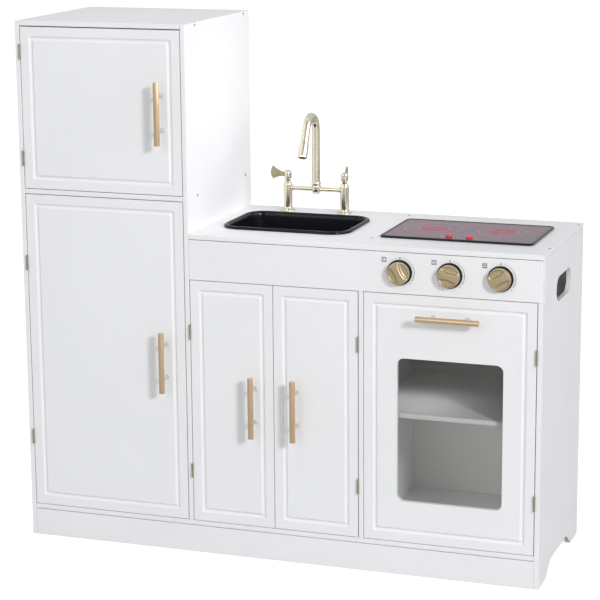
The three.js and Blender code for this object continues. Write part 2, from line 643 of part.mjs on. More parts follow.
function levers() {
  const stations = [['tap_lever_left', PILLAR_LEFT_X], ['tap_lever_right', PILLAR_RIGHT_X]];
  stations.forEach(([name, x], n) => {
    const mesh = place(name, leverGeometry(), CHAMPAGNE, x, TAP_Y, WORKTOP_TOP + FIT);
    mesh.rotation.z = THREE.MathUtils.degToRad(LEVER_TURN[n]);
  });
}

// ---- hob ----

function hobBoxOutline(by) {
  return { ...inset(HOB, HOB_BOX_INSET + by), corner: 6 };
}

const GLASS_TOP = WORKTOP_TOP + FIT + HOB_HEIGHT - 0.6;
const GLASS_BOTTOM = GLASS_TOP - HOB_GLASS_THICKNESS;

function hobHousing() {
  const seat = WORKTOP_TOP + FIT;
  const rim = roundedBlock(HOB, seat, seat + HOB_HEIGHT, { width: 1, height: 1, steps: 1 });
  const bottom = WORKTOP_TOP - HOB_BOX_DEPTH;
  const tray = roundedBlock(hobBoxOutline(0), bottom, seat + 1, null, 2);
  const recess = roundedBlock(inset(HOB, HOB_RIM_WIDTH), GLASS_BOTTOM - FIT, seat + HOB_HEIGHT + 5);
  const hollow = roundedBlock(hobBoxOutline(HOB_WALL), bottom + HOB_WALL, seat + HOB_HEIGHT, null, 2);
  place('hob_housing', cut(join(rim, tray), recess, hollow), BLACK_PLASTIC);
}

function hobGlass() {
  const plate = roundedBlock(inset(HOB, HOB_RIM_WIDTH + FIT), GLASS_BOTTOM, GLASS_TOP);
  const holes = BUTTONS.map(({ x, y }) =>
    post(BUTTON_RADIUS + 1.5 * FIT, x, y, GLASS_BOTTOM - 5, GLASS_TOP + 5, 20));
  place('hob_glass', cut(plate, ...holes), PLUM_GLASS);
}

// A captive push button: cap through the glass, flange below it, stem on its switch.
function hobButtons() {
  const floor = WORKTOP_TOP - HOB_BOX_DEPTH + HOB_WALL;
  const flangeTop = GLASS_BOTTOM - FIT;
  for (const { name, x, y } of BUTTONS) {
    const button = turned([
      [0, floor + BUTTON_TRAVEL + 0.5], [BUTTON_STEM_RADIUS, floor + BUTTON_TRAVEL + 0.5],
      [BUTTON_STEM_RADIUS, flangeTop - 1.5], [BUTTON_FLANGE_RADIUS, flangeTop - 1.5],
      [BUTTON_FLANGE_RADIUS, flangeTop], [BUTTON_RADIUS, flangeTop],
      [BUTTON_RADIUS, GLASS_TOP + BUTTON_RISE - 2.6], [BUTTON_RADIUS - 1.4, GLASS_TOP + BUTTON_RISE - 0.8],
      [BUTTON_RADIUS - 3.6, GLASS_TOP + BUTTON_RISE], [0, GLASS_TOP + BUTTON_RISE],
    ], 14);
    place(name, button, RED_PLASTIC, x, y, 0);
  }
}

carcass();
worktop();
controlPanel();
doors();
handles();
knobs();
sink();
tapBody();
spout();
levers();
hobHousing();
hobGlass();
hobButtons();

const FRONT_REACH = HANDLE_STANDOFF + HANDLE_RADIUS;
kitchen.position.set(-WIDTH / 2, -(DEPTH - FRONT_REACH) / 2, 0);

export default kitchen;
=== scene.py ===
import math

import bmesh
import bpy
from mathutils import Matrix, Vector


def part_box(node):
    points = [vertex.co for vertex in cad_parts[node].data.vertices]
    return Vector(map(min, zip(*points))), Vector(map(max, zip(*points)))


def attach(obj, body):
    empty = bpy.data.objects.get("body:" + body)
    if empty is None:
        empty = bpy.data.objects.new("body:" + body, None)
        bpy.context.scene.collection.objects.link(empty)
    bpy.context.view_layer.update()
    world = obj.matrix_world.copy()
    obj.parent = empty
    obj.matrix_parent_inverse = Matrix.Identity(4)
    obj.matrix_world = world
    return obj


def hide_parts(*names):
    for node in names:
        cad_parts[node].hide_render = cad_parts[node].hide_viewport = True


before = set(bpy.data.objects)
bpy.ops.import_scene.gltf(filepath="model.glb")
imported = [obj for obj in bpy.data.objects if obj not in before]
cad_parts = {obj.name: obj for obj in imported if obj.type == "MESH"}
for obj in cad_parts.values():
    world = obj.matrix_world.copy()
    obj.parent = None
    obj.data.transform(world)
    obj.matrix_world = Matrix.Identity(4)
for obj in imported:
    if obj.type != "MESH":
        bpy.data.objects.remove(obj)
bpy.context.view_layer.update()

# Lengths are metres in the frame's axes: +X right, +Y back, +Z up, floor at Z = 0.
MM = 0.001


def mm(*points):
    """Points given in millimetres."""
    return tuple((a * MM, b * MM) for a, b in points)


# ---- view and light ----
CAMERA_PLACE = (1.2923, -3.6425, 1.3344)
CAMERA_AZIMUTH = 19.524  # degrees to the right of straight ahead
CAMERA_ELEVATION = 12.603
CAMERA_ROLL = -0.448
CAMERA_LENS = 125.13
CAMERA_REACH = 100
FLOOR_HALF = 30.0
FLOOR_DROP = 0.5 * MM
FLOOR_CLOUD = 0.4
SEEN_FLOOR_TONES = (0.80, 0.82)
SEEN_FLOOR_GLOW = 0.6
BOUNCE_FLOOR_TONES = (0.58, 0.60)
KEY_TARGET = (0, 0, 0.5)
KEY_TOWARDS = (0.68, -0.63, 0.39)  # from the kitchen to the main light
KEY_DISTANCE = 8.0
KEY_SIZE = 1.3
KEY_POWER = 310.0
LIGHTS = {
    "side_light": {
        "place": (0.49, -0.02, 0.98), "target": (-0.165, 0.0, 0.82),
        "size": 0.4, "power": 0.44, "spread": 85,
    },
    "top_light": {
        "place": (-0.335, 0.0, 1.9), "target": (-0.335, 0.001, 1.0),
        "size": 0.5, "power": 0.075, "spread": 40,
    },
    "front_light": {
        "place": (-1.2, -6.4, 3.4), "target": (0, 0, 0.5), "size": 3.0, "power": 52.0,
    },
    # These two stand for the light that a bright room sends through the oven's window.
    "oven_fill_low": {
        "place": (0.33, -0.128, 0.19), "target": (0.33, 0.18, 0.19),
        "size": 0.16, "power": 0.076, "spread": 100,
    },
    "oven_fill_high": {
        "place": (0.27, -0.06, 0.50), "target": (0.26, -0.06, 0.3),
        "size": 0.16, "power": 0.03, "spread": 50,
    },
}
SKY = 0.66  # brightness all round, above the horizon
GROUND = 0.50
HORIZON_BLUR = 0.08
SKY_TINT = (0.985, 0.99, 1.0, 1)
DARK_BAND_AZIMUTH = 24.0  # where the studio is dark, which draws streaks on the metal
DARK_BAND_HALF = 6.0
DARK_BAND_SOFT = 7.0
DARK_BAND_LEVEL = 0.08

# ---- edges ----
BOARD_EDGE = 0.7 * MM
DOOR_EDGE = 0.45 * MM
SHARP_ANGLE = 38

# ---- handles ----
BAR_RADIUS = 5.5 * MM
BAR_END = 1.0 * MM
POST_RADIUS = 3.4 * MM
POST_SPACING = 64 * MM
POST_FOOT_RADIUS = 4.3 * MM
POST_FOOT_HEIGHT = 1.2 * MM
POST_EDGE = 0.4 * MM
HANDLE_STANDOFF = 26 * MM
POST_PROFILE = (
    (0, 0), (POST_RADIUS, 0), (POST_RADIUS, HANDLE_STANDOFF - 2 * POST_FOOT_HEIGHT),
    (POST_FOOT_RADIUS, HANDLE_STANDOFF - POST_FOOT_HEIGHT), (POST_FOOT_RADIUS, HANDLE_STANDOFF),
    (0, HANDLE_STANDOFF),
)
HANDLE_SCREW = {"radius": 3.6 * MM, "proud": 1.8 * MM}
WASHER_RADIUS = 5.2 * MM
WASHER_THICKNESS = 0.8 * MM
WASHER_EDGE = 0.2 * MM

# ---- hinges ----
BARREL_RADIUS = 1.9 * MM
PIN_RADIUS = 0.75 * MM
PIN_INSET = 0.5 * MM
PIN_EDGE = 0.1 * MM
KNUCKLE_GAP = 0.3 * MM
KNUCKLE_EDGE = 0.35 * MM
LEAF_NEAR = 0.2 * MM
LEAF_FAR = 0.62 * MM
LEAF_ROOT = 1.0 * MM
LEAF_CORNER = 2.0 * MM
LEAF_SCREW = {"radius": 1.7 * MM, "proud": 0.06 * MM}
LEAF_SCREW_HEIGHT = 0.55  # its place as a share of the leaf's half height and of its depth
LEAF_SCREW_DEPTH = 0.62

# ---- screws ----
BOARD_SCREW = {"radius": 3.1 * MM, "proud": 0.3 * MM}
BACK_SCREW = {"radius": 2.6 * MM, "proud": 0.3 * MM}
BACK_SCREW_INSET = 6 * MM
BACK_SCREW_PITCH = 230 * MM
WORKTOP_SCREWS_FRONT = 65 * MM
WORKTOP_SCREWS_BACK = 25 * MM
SIDE_SCREWS_FRONT = 50 * MM
SIDE_SCREWS_BACK = 32 * MM
SCREW_ARM = 0.17  # half width of the cross recess, as a share of the head's radius
SCREW_REACH = 0.6
SCREW_TAPER = 0.8
SCREW_FLOOR = 0.25  # the recess's floor, as a share of the head's height
SCREW_FIRST_TURN = 12
SCREW_TURN_STEP = 37

# ---- knobs ----
KNOB_SIDES = 96
KNOB_RADIUS = 20.5 * MM
KNOB_BACK = 4.6 * MM
KNOB_BACK_EDGE = 0.6 * MM
KNOB_FACE = 13 * MM
KNOB_EDGE = 0.9 * MM
KNOB_EDGE_SHARE = 0.3
KNOB_TOP = 16.5 * MM
KNOB_CROWN_DROP = 1.2 * MM
KNOB_RIM = 1.6 * MM
KNOB_SCOOP = 1.9 * MM
KNOB_SCOOP_SLOPE = 2.2 * MM
KNOB_RINGS = 22
KNOB_RING_STEP = 0.85 * MM
GRIP_WAIST = 4.3 * MM  # half width of the grip's top in the middle
GRIP_FLARE = 5.0 * MM  # how much wider it is at the rim
GRIP_SLOPE = 4.4 * MM
GRIP_END_INSET = 0.4 * MM
GRIP_END_SLOPE = 2 * MM
KNOB_TURN = (-62, -14, 32)
BEZEL_RADIUS = 23.2 * MM
BEZEL_HOLE = 4.2 * MM
BEZEL_THICKNESS = 4 * MM
BEZEL_EDGE = 0.8 * MM
BEZEL_LIFT = 0.3 * MM
SHAFT_RADIUS = 3.5 * MM
SHAFT_TAIL = 5 * MM
SHAFT_EDGE = 0.5 * MM
SHAFT_OVERLAP = 0.5 * MM  # how far it reaches into the knob
CLIP_RADIUS = 8 * MM
CLIP_THICKNESS = 1.0 * MM
CLIP_FROM_PANEL = 1.4 * MM

# ---- prints on the control panel ----
PRINT_SUNK = 0.3 * MM
PRINT_PROUD = 0.08 * MM
PRINT_LEVELS = (-PRINT_SUNK, PRINT_PROUD)
DIAL_RADIUS = 27 * MM
DIAL_LINE = 0.5 * MM
DIAL_MARKS = (0, -45, -135, 180)
DIAL_MARK_HALF = 0.35 * MM
DIAL_MARK_IN = 1.2 * MM
DIAL_MARK_OUT = 1.3 * MM
OFF_MARK_PLACE = (0, 26.4 * MM)
OFF_MARK_RADII = (1.5 * MM, 0.8 * MM)
SWEEP_START = 78
SWEEP_TURN = 112
SWEEP_STEPS = 40
SWEEP_THIN = 0.35
SWEEP_SWELL = 1.4
SYMBOL_OFFSET = (-29.5 * MM, 21.8 * MM)
SYMBOL_HALF = 4.4 * MM
SYMBOL_LINE = 1.1 * MM
SYMBOL_DOT = 1.1 * MM
SYMBOL_DOT_PLACE = 1.7 * MM
OVEN_SYMBOL_BAR = 1.6 * MM
OVEN_SYMBOL_PANE = (0, -1.4 * MM)
OVEN_SYMBOL_PANE_HALVES = (1.9 * MM, 1.1 * MM)

# ---- sink: how far in from the outline, and the height above the seat ----
SINK_LIFT = 0.3 * MM
SINK_CORNER = 38 * MM
SINK_LEAST_CORNER = 6 * MM
SINK_RIM = mm(
    (0, 0), (0, 2.6), (0.6, 4.2), (2.2, 5.2), (4.0, 5.4),
    (6.2, 4.9), (8.0, 3.2), (9.2, 0.4), (9.8, -4),
)
SINK_RIM_UNDER = mm((8.2, 0), (8.2, -6))
SINK_WALL = 2.5 * MM
SINK_SKIN = (2.0 * MM, 2.25 * MM)
SINK_FOOT_START = 14.5 * MM
SINK_FOOT_CORNER = 15.5 * MM
SINK_FOOT_END = 26.5 * MM
SINK_FOOT_HEIGHT = 11 * MM

# ---- tap: profiles are (radius, height), from the axis out and back to it ----
FLANGE_RADIUS = 14.5 * MM
PILLAR_RADIUS = 8.5 * MM
PILLAR_HEIGHT = 58 * MM
STUD_RADIUS = 2.5 * MM
STUD_TOP = 69 * MM
PILLAR_EDGE = 1.1 * MM
PILLAR_PROFILE = (
    (0, 0), (FLANGE_RADIUS, 0), (FLANGE_RADIUS, 1.36 * MM), (11.5 * MM, 3.4 * MM),
    (9.1 * MM, 5.0 * MM), (PILLAR_RADIUS, 7.4 * MM), (PILLAR_RADIUS, 52 * MM),
    (5.8 * MM, 57.4 * MM), (5.2 * MM, PILLAR_HEIGHT), (STUD_RADIUS, PILLAR_HEIGHT),
    (STUD_RADIUS, STUD_TOP), (0, STUD_TOP),
)
BRIDGE_RADIUS = 4.2 * MM
BRIDGE_HEIGHT = 44.5 * MM
BRIDGE_INSET = 5.1 * MM
BRIDGE_EDGE = 0.4 * MM
FERRULE_RADIUS = 5.3 * MM
FERRULE_HALF = 2 * MM
FERRULE_INSET = 9.7 * MM
FERRULE_EDGE = 0.6 * MM
HUB_RADIUS = 9 * MM
HUB_BOTTOM = 35 * MM
HUB_TOP = 53 * MM
HUB_EDGE = 1.2 * MM
HUB_PROFILE = (
    (0, HUB_BOTTOM), (5.6 * MM, HUB_BOTTOM), (6.4 * MM, 37 * MM), (HUB_RADIUS, 40 * MM),
    (HUB_RADIUS, 51 * MM), (8 * MM, HUB_TOP), (0, HUB_TOP),
)
NUT_RADIUS = 10 * MM
NUT_THICKNESS = 5 * MM
NUT_EDGE = 0.4 * MM
NUT_OVERLAP = 0.2 * MM  # how far it reaches into the worktop, so that no gap shows
FIXING_STUD_RADIUS = 3.5 * MM
FIXING_STUD_LENGTH = 11 * MM
PIPE_RADIUS = 7.6 * MM
PIPE_START = 57 * MM
RISER_TOP = 161.5 * MM
BEND_RADIUS = 28 * MM
BEND_LENGTH = BEND_RADIUS * math.radians(155)
BEND_STEPS = 40
PIPE_FALL = 32.5 * MM
COLLAR_EDGE = 0.8 * MM
COLLAR_PROFILE = mm(
    (0, 43), (5, 43), (5, 53.3), (9, 53.3),
    (9, 57.6), (7.9, 60), (0, 60),
)
NOZZLE_EDGE = 0.7 * MM
NOZZLE_PROFILE = mm(
    (0, -2), (7.7, -2), (8.5, 1), (8.7, 3), (8.9, 27),
    (8.5, 30), (7.1, 30), (7.1, 25), (0, 25),
)
AERATOR_EDGE = 0.2 * MM
AERATOR_PROFILE = mm(
    (0, 24), (6.8, 24), (6.8, 28.4), (5.8, 28.4),
    (5.8, 26), (0, 26),
)
LEVER_AXIS = 71 * MM
LEVER_THICKNESS = 3.2 * MM
LEVER_EDGE = 0.9 * MM
LEVER_ROOT = [(2, -4.2), (13, -3.8)]  # the blade's outline, in millimetres
LEVER_FAN = (
    ((13, -3.8), (23, -5.5), (29.5, -10), 8),
    ((29.5, -10), (40, 2), (30.5, 15.8), 12),
    ((30.5, 15.8), (22, 9), (13, 5), 8),
)
LEVER_END = [(2, 4.6)]
LEVER_HUB_EDGE = 1.4 * MM
LEVER_HUB_PROFILE = mm(
    (0, 69.8), (2.8, 69.8), (2.8, 58.3), (5.0, 58.3),
    (5.0, 61.7), (7.4, 64.7), (7.4, 75.4), (5.0, 79.4),
    (0, 80),
)
LEVERS = {  # each lever's body, pillar and turn at rest
    "tap_lever_left": ("lever_left", 0, 180),
    "tap_lever_right": ("lever_right", 1, 100),
}

# ---- hob ----
BURNERS = {
    "left_burner": {"centre": (257 * MM, 22.75 * MM), "rings": (54 * MM, 28.8 * MM), "turn": 0},
    "right_burner": {"centre": (387 * MM, 25.75 * MM), "rings": (44.5 * MM, 30 * MM), "turn": 30},
}
HOB_PRINT_PROUD = 0.04 * MM
RING_HALF_LINE = 0.45 * MM
COIL_RADII = (7 * MM, 12 * MM, 17 * MM, 22 * MM)
COIL_WIDTH = 3.7 * MM
COIL_SECTOR = 60
COIL_GAP = 14
BUTTON_ARC_RADII = (9.5 * MM, 12.1 * MM, 14.7 * MM)
BUTTON_ARC_HALF_LINE = 0.4 * MM
BUTTON_ARC_HALF_TURN = 28
BUTTON_RING_RADII = (2.6 * MM, 1.9 * MM)
BUTTON_RADIUS = 6.2 * MM
BUTTON_EDGE = 0.8 * MM
BUTTON_STEM = 2.5 * MM
BUTTON_FLANGE = 7.8 * MM
BUTTON_FLANGE_THICKNESS = 1.5 * MM
BUTTON_FLANGE_GAP = 0.3 * MM
# In from the button's side, and down from its top.
BUTTON_DOME = mm((0, 2.8), (1.0, 1.3), (3.0, 0.3))

# ---- catches ----
CATCH_LENGTH = 26 * MM
CATCH_DEPTH = 9 * MM
CATCH_HEIGHT = 8 * MM
CATCH_EDGE = 0.8 * MM
CATCH_GAP = 0.3 * MM
CATCH_FROM_WALL = 4 * MM
CATCH_FROM_DOOR_EDGE = 20 * MM
MAGNET_SHARE = 0.3  # half its size, as a share of the catch's size
MAGNET_PROUD = 0.2 * MM
MAGNET_DEPTH = 1 * MM
MAGNET_EDGE = 0.15 * MM
STRIKE_SHARE = 0.42
STRIKE_SPACE = 0.8 * MM
STRIKE_SUNK = 0.2 * MM
STRIKE_PROUD = 0.48 * MM
STRIKE_EDGE = 0.2 * MM


# ---- shading ----


def add_node(tree, kind, inputs=(), **settings):
    """A new node. Each of its inputs is a value, or another node's output to link to."""
    node = tree.nodes.new(kind)
    for key, value in settings.items():
        setattr(node, key, value)
    for key, value in dict(inputs).items():
        if isinstance(value, bpy.types.NodeSocket):
            tree.links.new(value, node.inputs[key])
        else:
            node.inputs[key].default_value = value
    return node


class Finish:
    """One procedural material: a Principled shader and the nodes that feed it."""

    def __init__(self, name, sockets=()):
        self.material = bpy.data.materials.new(name)
        self.material.use_nodes = True
        self.tree = self.material.node_tree
        self.shader = self.tree.nodes["Principled BSDF"]
        for socket, value in dict(sockets).items():
            self.shader.inputs[socket].default_value = value
        self.place = self.add("ShaderNodeTexCoord").outputs["Object"]

    def add(self, kind, inputs=(), **settings):
        return add_node(self.tree, kind, inputs, **settings)

    def noise(self, size, detail=2.0, stretch=(1, 1, 1), roughness=0.5):
        """Noise whose features are about size across, drawn out along an axis by stretch."""
        scale = [1 / s for s in stretch]
        spread = self.add("ShaderNodeMapping", {"Vector": self.place, "Scale": scale})
        inputs = {"Vector": spread.outputs[0], "Scale": 1 / size, "Detail": detail, "Roughness": roughness}
        return self.add("ShaderNodeTexNoise", inputs).outputs[0]

    def span(self, value, low, high, start=0.25, end=0.75):
        """value, from start to end, mapped to low and high."""
        inputs = {0: value, 1: start, 2: end, 3: low, 4: high}
        return self.add("ShaderNodeMapRange", inputs).outputs[0]

    def mix(self, factor, low, high):
        """A colour between low and high."""
        low, high = ((*c, 1) if isinstance(c, tuple) else c for c in (low, high))
        node = self.add("ShaderNodeMix", {0: factor, 6: low, 7: high}, data_type="RGBA")
        return node.outputs[2]

    def colour(self, socket):
        self.tree.links.new(socket, self.shader.inputs["Base Color"])
        return self

    def roughness(self, socket):
        self.tree.links.new(socket, self.shader.inputs["Roughness"])
        return self

    def relief(self, *layers):
        """Bumps from (height, depth) layers, each on top of the last."""
        normal = None
        for height, depth in layers:
            inputs = {"Height": height, "Distance": depth, "Strength": 1.0}
            if normal is not None:
                inputs["Normal"] = normal
            normal = self.add("ShaderNodeBump", inputs).outputs[0]
        self.tree.links.new(normal, self.shader.inputs["Normal"])
        return self


def lacquer(name, light, shade, gloss):
    """Sprayed satin lacquer: slight cloudiness, orange peel and a few fine nibs."""
    finish = Finish(name)
    cloud = finish.noise(180 * MM, 3)
    finish.colour(finish.mix(finish.span(cloud, 0, 1), shade, light))
    finish.roughness(finish.span(finish.noise(25 * MM, 4), gloss - 0.05, gloss + 0.06))
    peel = finish.noise(2.2 * MM, 2)
    nibs = finish.span(finish.noise(0.8 * MM, 1), 0, 1, 0.68, 0.78)
    return finish.relief((peel, 0.02 * MM), (nibs, 0.01 * MM)).material


def hardboard():
    """Thin painted hardboard: fibres under a matt coat."""
    finish = Finish("back_board")
    fibre = finish.noise(1.1 * MM, 4, (1, 1, 4), 0.7)
    cloud = finish.noise(60 * MM, 4)
    tone = finish.mix(finish.span(fibre, 0, 1), (0.70, 0.69, 0.66), (0.80, 0.79, 0.77))
    finish.colour(finish.mix(finish.span(cloud, 0, 0.35), tone, (0.73, 0.71, 0.67)))
    finish.roughness(finish.span(fibre, 0.5, 0.72))
    return finish.relief((fibre, 0.06 * MM), (cloud, 0.15 * MM)).material


def brushed(name, light, shade, stretch, gloss):
    """Brushed and anodised metal with its grain along one axis."""
    finish = Finish(name, {"Metallic": 1.0, "Anisotropic": 0.35})
    grain = finish.noise(0.35 * MM, 3, stretch, 0.65)
    wear = finish.noise(14 * MM, 3)
    tone = finish.mix(finish.span(grain, 0, 1), shade, light)
    finish.colour(finish.mix(finish.span(wear, 0, 0.3), tone, shade))
    finish.roughness(finish.span(grain, gloss - 0.06, gloss + 0.1))
    return finish.relief((grain, 0.012 * MM)).material


def plated(name, light, shade, gloss):
    """Plated metal: smooth, with faint clouds and polishing marks."""
    finish = Finish(name, {"Metallic": 1.0})
    cloud = finish.noise(14 * MM, 2)
    marks = finish.noise(0.5 * MM, 3, (1, 1, 8), 0.6)
    finish.colour(finish.mix(finish.span(cloud, 0, 1), shade, light))
    finish.roughness(finish.span(marks, gloss - 0.03, gloss + 0.04))
    return finish.relief((cloud, 0.02 * MM), (marks, 0.0004 * MM)).material


def satin_gold():
    """Metallic paint on a moulded knob: fine flakes and a soft sheen."""
    finish = Finish("knob_gold", {"Metallic": 0.85})
    flakes = finish.noise(0.45 * MM, 2, roughness=0.7)
    cloud = finish.noise(7 * MM, 3)
    tone = finish.mix(finish.span(flakes, 0, 1), (0.46, 0.37, 0.22), (0.66, 0.56, 0.36))
    finish.colour(finish.mix(finish.span(cloud, 0, 0.35), tone, (0.52, 0.40, 0.24)))
    finish.roughness(finish.span(flakes, 0.3, 0.46))
    return finish.relief((flakes, 0.01 * MM)).material


def gloss_plastic(name, light, shade, gloss, coat=0.3, specular=0.5):
    """Moulded plastic: a gloss skin over very slight sink marks."""
    finish = Finish(name, {"Coat Weight": coat, "Coat Roughness": 0.08, "Specular IOR Level": specular})
    cloud = finish.noise(22 * MM, 3)
    skin = finish.noise(1.4 * MM, 3)
    finish.colour(finish.mix(finish.span(cloud, 0, 1), shade, light))
    finish.roughness(finish.span(skin, gloss - 0.04, gloss + 0.08))
    return finish.relief((cloud, 0.12 * MM), (skin, 0.02 * MM)).material


def plum_panel():
    """The hob's gloss panel: a dark plum sheet with a fine sparkle under its surface."""
    finish = Finish("hob_panel", {"IOR": 1.36})
    sparkle = finish.span(finish.noise(0.6 * MM, 1), 0, 1, 0.62, 0.74)
    cloud = finish.noise(70 * MM, 3)
    tone = finish.mix(finish.span(cloud, 0, 1), (0.125, 0.044, 0.078), (0.160, 0.062, 0.100))
    finish.colour(finish.mix(sparkle, tone, (0.20, 0.13, 0.16)))
    finish.roughness(finish.span(finish.noise(12 * MM, 3), 0.1, 0.2))
    return finish.relief((cloud, 0.1 * MM)).material


def ink(name, light, shade):
    """Screen-printed ink: even, with slightly broken coverage."""
    finish = Finish(name)
    cover = finish.noise(0.7 * MM, 3)
    finish.colour(finish.mix(finish.span(cover, 0, 1, 0.3, 0.55), shade, light))
    finish.roughness(finish.span(cover, 0.3, 0.5))
    return finish.relief((cover, 0.01 * MM)).material


def smoke_pane():
    """Smoke-grey acrylic sheet with a few hairline rubs."""
    finish = Finish("oven_pane", {"Alpha": 0.2, "IOR": 1.45})
    rubs = finish.span(finish.noise(0.6 * MM, 2, (18, 1, 2)), 0, 1, 0.62, 0.7)
    haze = finish.noise(90 * MM, 3)
    finish.colour(finish.mix(finish.span(haze, 0, 1), (0.090, 0.094, 0.080), (0.112, 0.117, 0.100)))
    finish.roughness(finish.mix(rubs, (0.05, 0.05, 0.05), (0.14, 0.14, 0.14)))
    return finish.relief((haze, 0.15 * MM)).material


LACQUER = lacquer("white_lacquer", (0.865, 0.870, 0.885), (0.835, 0.840, 0.855), 0.36)
BACK_BOARD = hardboard()
BAR_GRAIN = {"upright": (1, 1, 30), "level": (30, 1, 1)}
BARS = {
    way: brushed(f"brushed_gold_{way}", (0.82, 0.63, 0.42), (0.68, 0.51, 0.32), stretch, 0.36)
    for way, stretch in BAR_GRAIN.items()
}
POSTS = brushed("post_metal", (0.84, 0.79, 0.72), (0.70, 0.65, 0.58), (1, 12, 1), 0.34)
HINGE = plated("hinge_metal", (0.50, 0.45, 0.34), (0.38, 0.34, 0.25), 0.32)
CHAMPAGNE = plated("tap_champagne", (0.87, 0.81, 0.65), (0.81, 0.75, 0.58), 0.2)
LEVER_CHAMPAGNE = plated("lever_champagne", (0.50, 0.46, 0.30), (0.42, 0.38, 0.24), 0.36)
KNOB_GOLD = satin_gold()
SCREW_STEEL = plated("screw_steel", (0.60, 0.60, 0.60), (0.46, 0.46, 0.47), 0.35)
BLACK = gloss_plastic("gloss_black", (0.006, 0.0065, 0.010), (0.004, 0.0045, 0.007), 0.17, 0, 0.25)
# Painted shade: a near-black plastic for the screws' cross recesses, which are steel and look dark only
# from shade.
PAINTED_RECESS_SHADE = gloss_plastic("painted_recess_shade", (0.03, 0.03, 0.03), (0.02, 0.02, 0.02), 0.6, coat=0)
RED = gloss_plastic("gloss_red", (0.78, 0.035, 0.050), (0.66, 0.022, 0.035), 0.22, coat=0.5)
WHITE_PLASTIC = gloss_plastic("white_plastic", (0.82, 0.82, 0.82), (0.76, 0.76, 0.77), 0.35, coat=0)
HOB_PANEL = plum_panel()
PANE = smoke_pane()
DARK_INK = ink("dark_ink", (0.06, 0.06, 0.06), (0.13, 0.13, 0.13))
PALE_INK = ink("pale_ink", (0.46, 0.42, 0.44), (0.34, 0.30, 0.33))
RED_INK = ink("red_ink", (0.52, 0.035, 0.085), (0.40, 0.03, 0.07))

DOORS = ("freezer_door", "fridge_door", "cupboard_door_left", "cupboard_door_right", "oven_door")
DOOR_BODIES = {door: f"{door}_assembly" for door in DOORS}
NODE_FINISH = {
    LACQUER: (
        "left_side_panel", "right_side_panel", "fridge_right_panel", "oven_partition", "base_panel",
        "plinth_board", "fridge_top_panel", "freezer_floor_panel", "fridge_shelf", "oven_shelf",
        "worktop", "control_panel", *DOORS,
    ),
    BACK_BOARD: ("fridge_back_panel", "kitchen_back_panel"),
    BLACK: ("hob_housing",),
    HOB_PANEL: ("hob_glass",),
    PANE: ("oven_window",),
}
HANDLES = {
    "freezer_handle": "freezer_door",
    "fridge_handle": "fridge_door",
    "cupboard_handle_left": "cupboard_door_left",
    "cupboard_handle_right": "cupboard_door_right",
    "oven_handle": "oven_door",
}


# ---- making meshes ----

FACING = {
    "up": Matrix.Identity(4),
    "right": Matrix.Rotation(math.pi / 2, 4, "Y"),
    "left": Matrix.Rotation(-math.pi / 2, 4, "Y"),
    "back": Matrix.Rotation(-math.pi / 2, 4, "X"),
    "front": Matrix.Rotation(math.pi / 2, 4, "X"),
}


def smooth(share):
    """0 to 1 with a gentle start and end."""
    t = min(1, max(0, share))
    return t * t * (3 - 2 * t)


def span_loops(bm, first, second):
    """Faces between two closed loops, or between a loop and a single point."""
    count = max(len(first), len(second))
    for k in range(count):
        ring = [first[k % len(first)], first[(k + 1) % len(first)]]
        ring += [second[(k + 1) % len(second)], second[k % len(second)]]
        corners = list(dict.fromkeys(ring))
        if len(corners) > 2:
            bm.faces.new(corners)


def softened(profile, radius, steps=3):
    """The profile with each inner corner rounded by up to radius."""
    points = [Vector(p) for p in profile]
    result = [points[0]]
    for before, corner, after in zip(points, points[1:], points[2:]):
        reach = min(radius, (before - corner).length * 0.48, (after - corner).length * 0.48)
        start = corner + (before - corner).normalized() * reach
        end = corner + (after - corner).normalized() * reach
        for k in range(steps + 1):
            t = k / steps
            result.append(start.lerp(corner, t).lerp(corner.lerp(end, t), t))
    return result + [points[-1]]


def lathe(profile, sides, closed=False):
    """A turned solid about Z from (radius, height) points, on the axis at both ends or closed."""
    bm = bmesh.new()
    loops = []
    for radius, height in profile:
        if radius < 1e-7:
            loops.append([bm.verts.new((0, 0, height))])
            continue
        turns = (2 * math.pi * k / sides for k in range(sides))
        loops.append([bm.verts.new((radius * math.cos(a), radius * math.sin(a), height)) for a in turns])
    for low, high in zip(loops, loops[1:] + (loops[:1] if closed else [])):
        span_loops(bm, low, high)
    return bm


def turned(profile, edge, sides):
    """A turned solid about Z whose profile's corners are softened by edge."""
    return lathe(softened(profile, edge), sides)


def rod(radius, low, high, edge, sides=32):
    """A round bar along Z with softened ends."""
    return turned([(0, low), (radius, low), (radius, high), (0, high)], edge, sides)


def ring_solid(inner, outer, low, high, edge, sides):
    """A turned ring about Z with softened corners."""
    corners = [(inner, low), (outer, low), (outer, high), (inner, high), (inner, low)]
    return lathe(softened(corners, edge)[:-1], sides, closed=True)


def loft(loops, bm=None):
    """A closed solid through loops of points, its first and last loops capped."""
    bm = bm or bmesh.new()
    rings = [[bm.verts.new(p) for p in loop] for loop in loops]
    for low, high in zip(rings, rings[1:]):
        span_loops(bm, low, high)
    bm.faces.new(rings[0])
    bm.faces.new(rings[-1])
    return bm


def strip(bm, outer, inner, low, high, closed=True):
    """A flat band of some thickness between two outlines with as many points."""
    rows = [[bm.verts.new((x, y, z)) for x, y in line] for line, z in
            ((outer, low), (outer, high), (inner, high), (inner, low))]
    count = len(outer)
    for k in range(count if closed else count - 1):
        after = (k + 1) % count
        for one, two in zip(rows, rows[1:] + rows[:1]):
            bm.faces.new((one[k], one[after], two[after], two[k]))
    if not closed:
        bm.faces.new([row[0] for row in rows])
        bm.faces.new([row[-1] for row in rows])
    return bm


def slab(bm, outline, low, high):
    """A flat plate of any outline."""
    return loft([[(x, y, low) for x, y in outline], [(x, y, high) for x, y in outline]], bm)


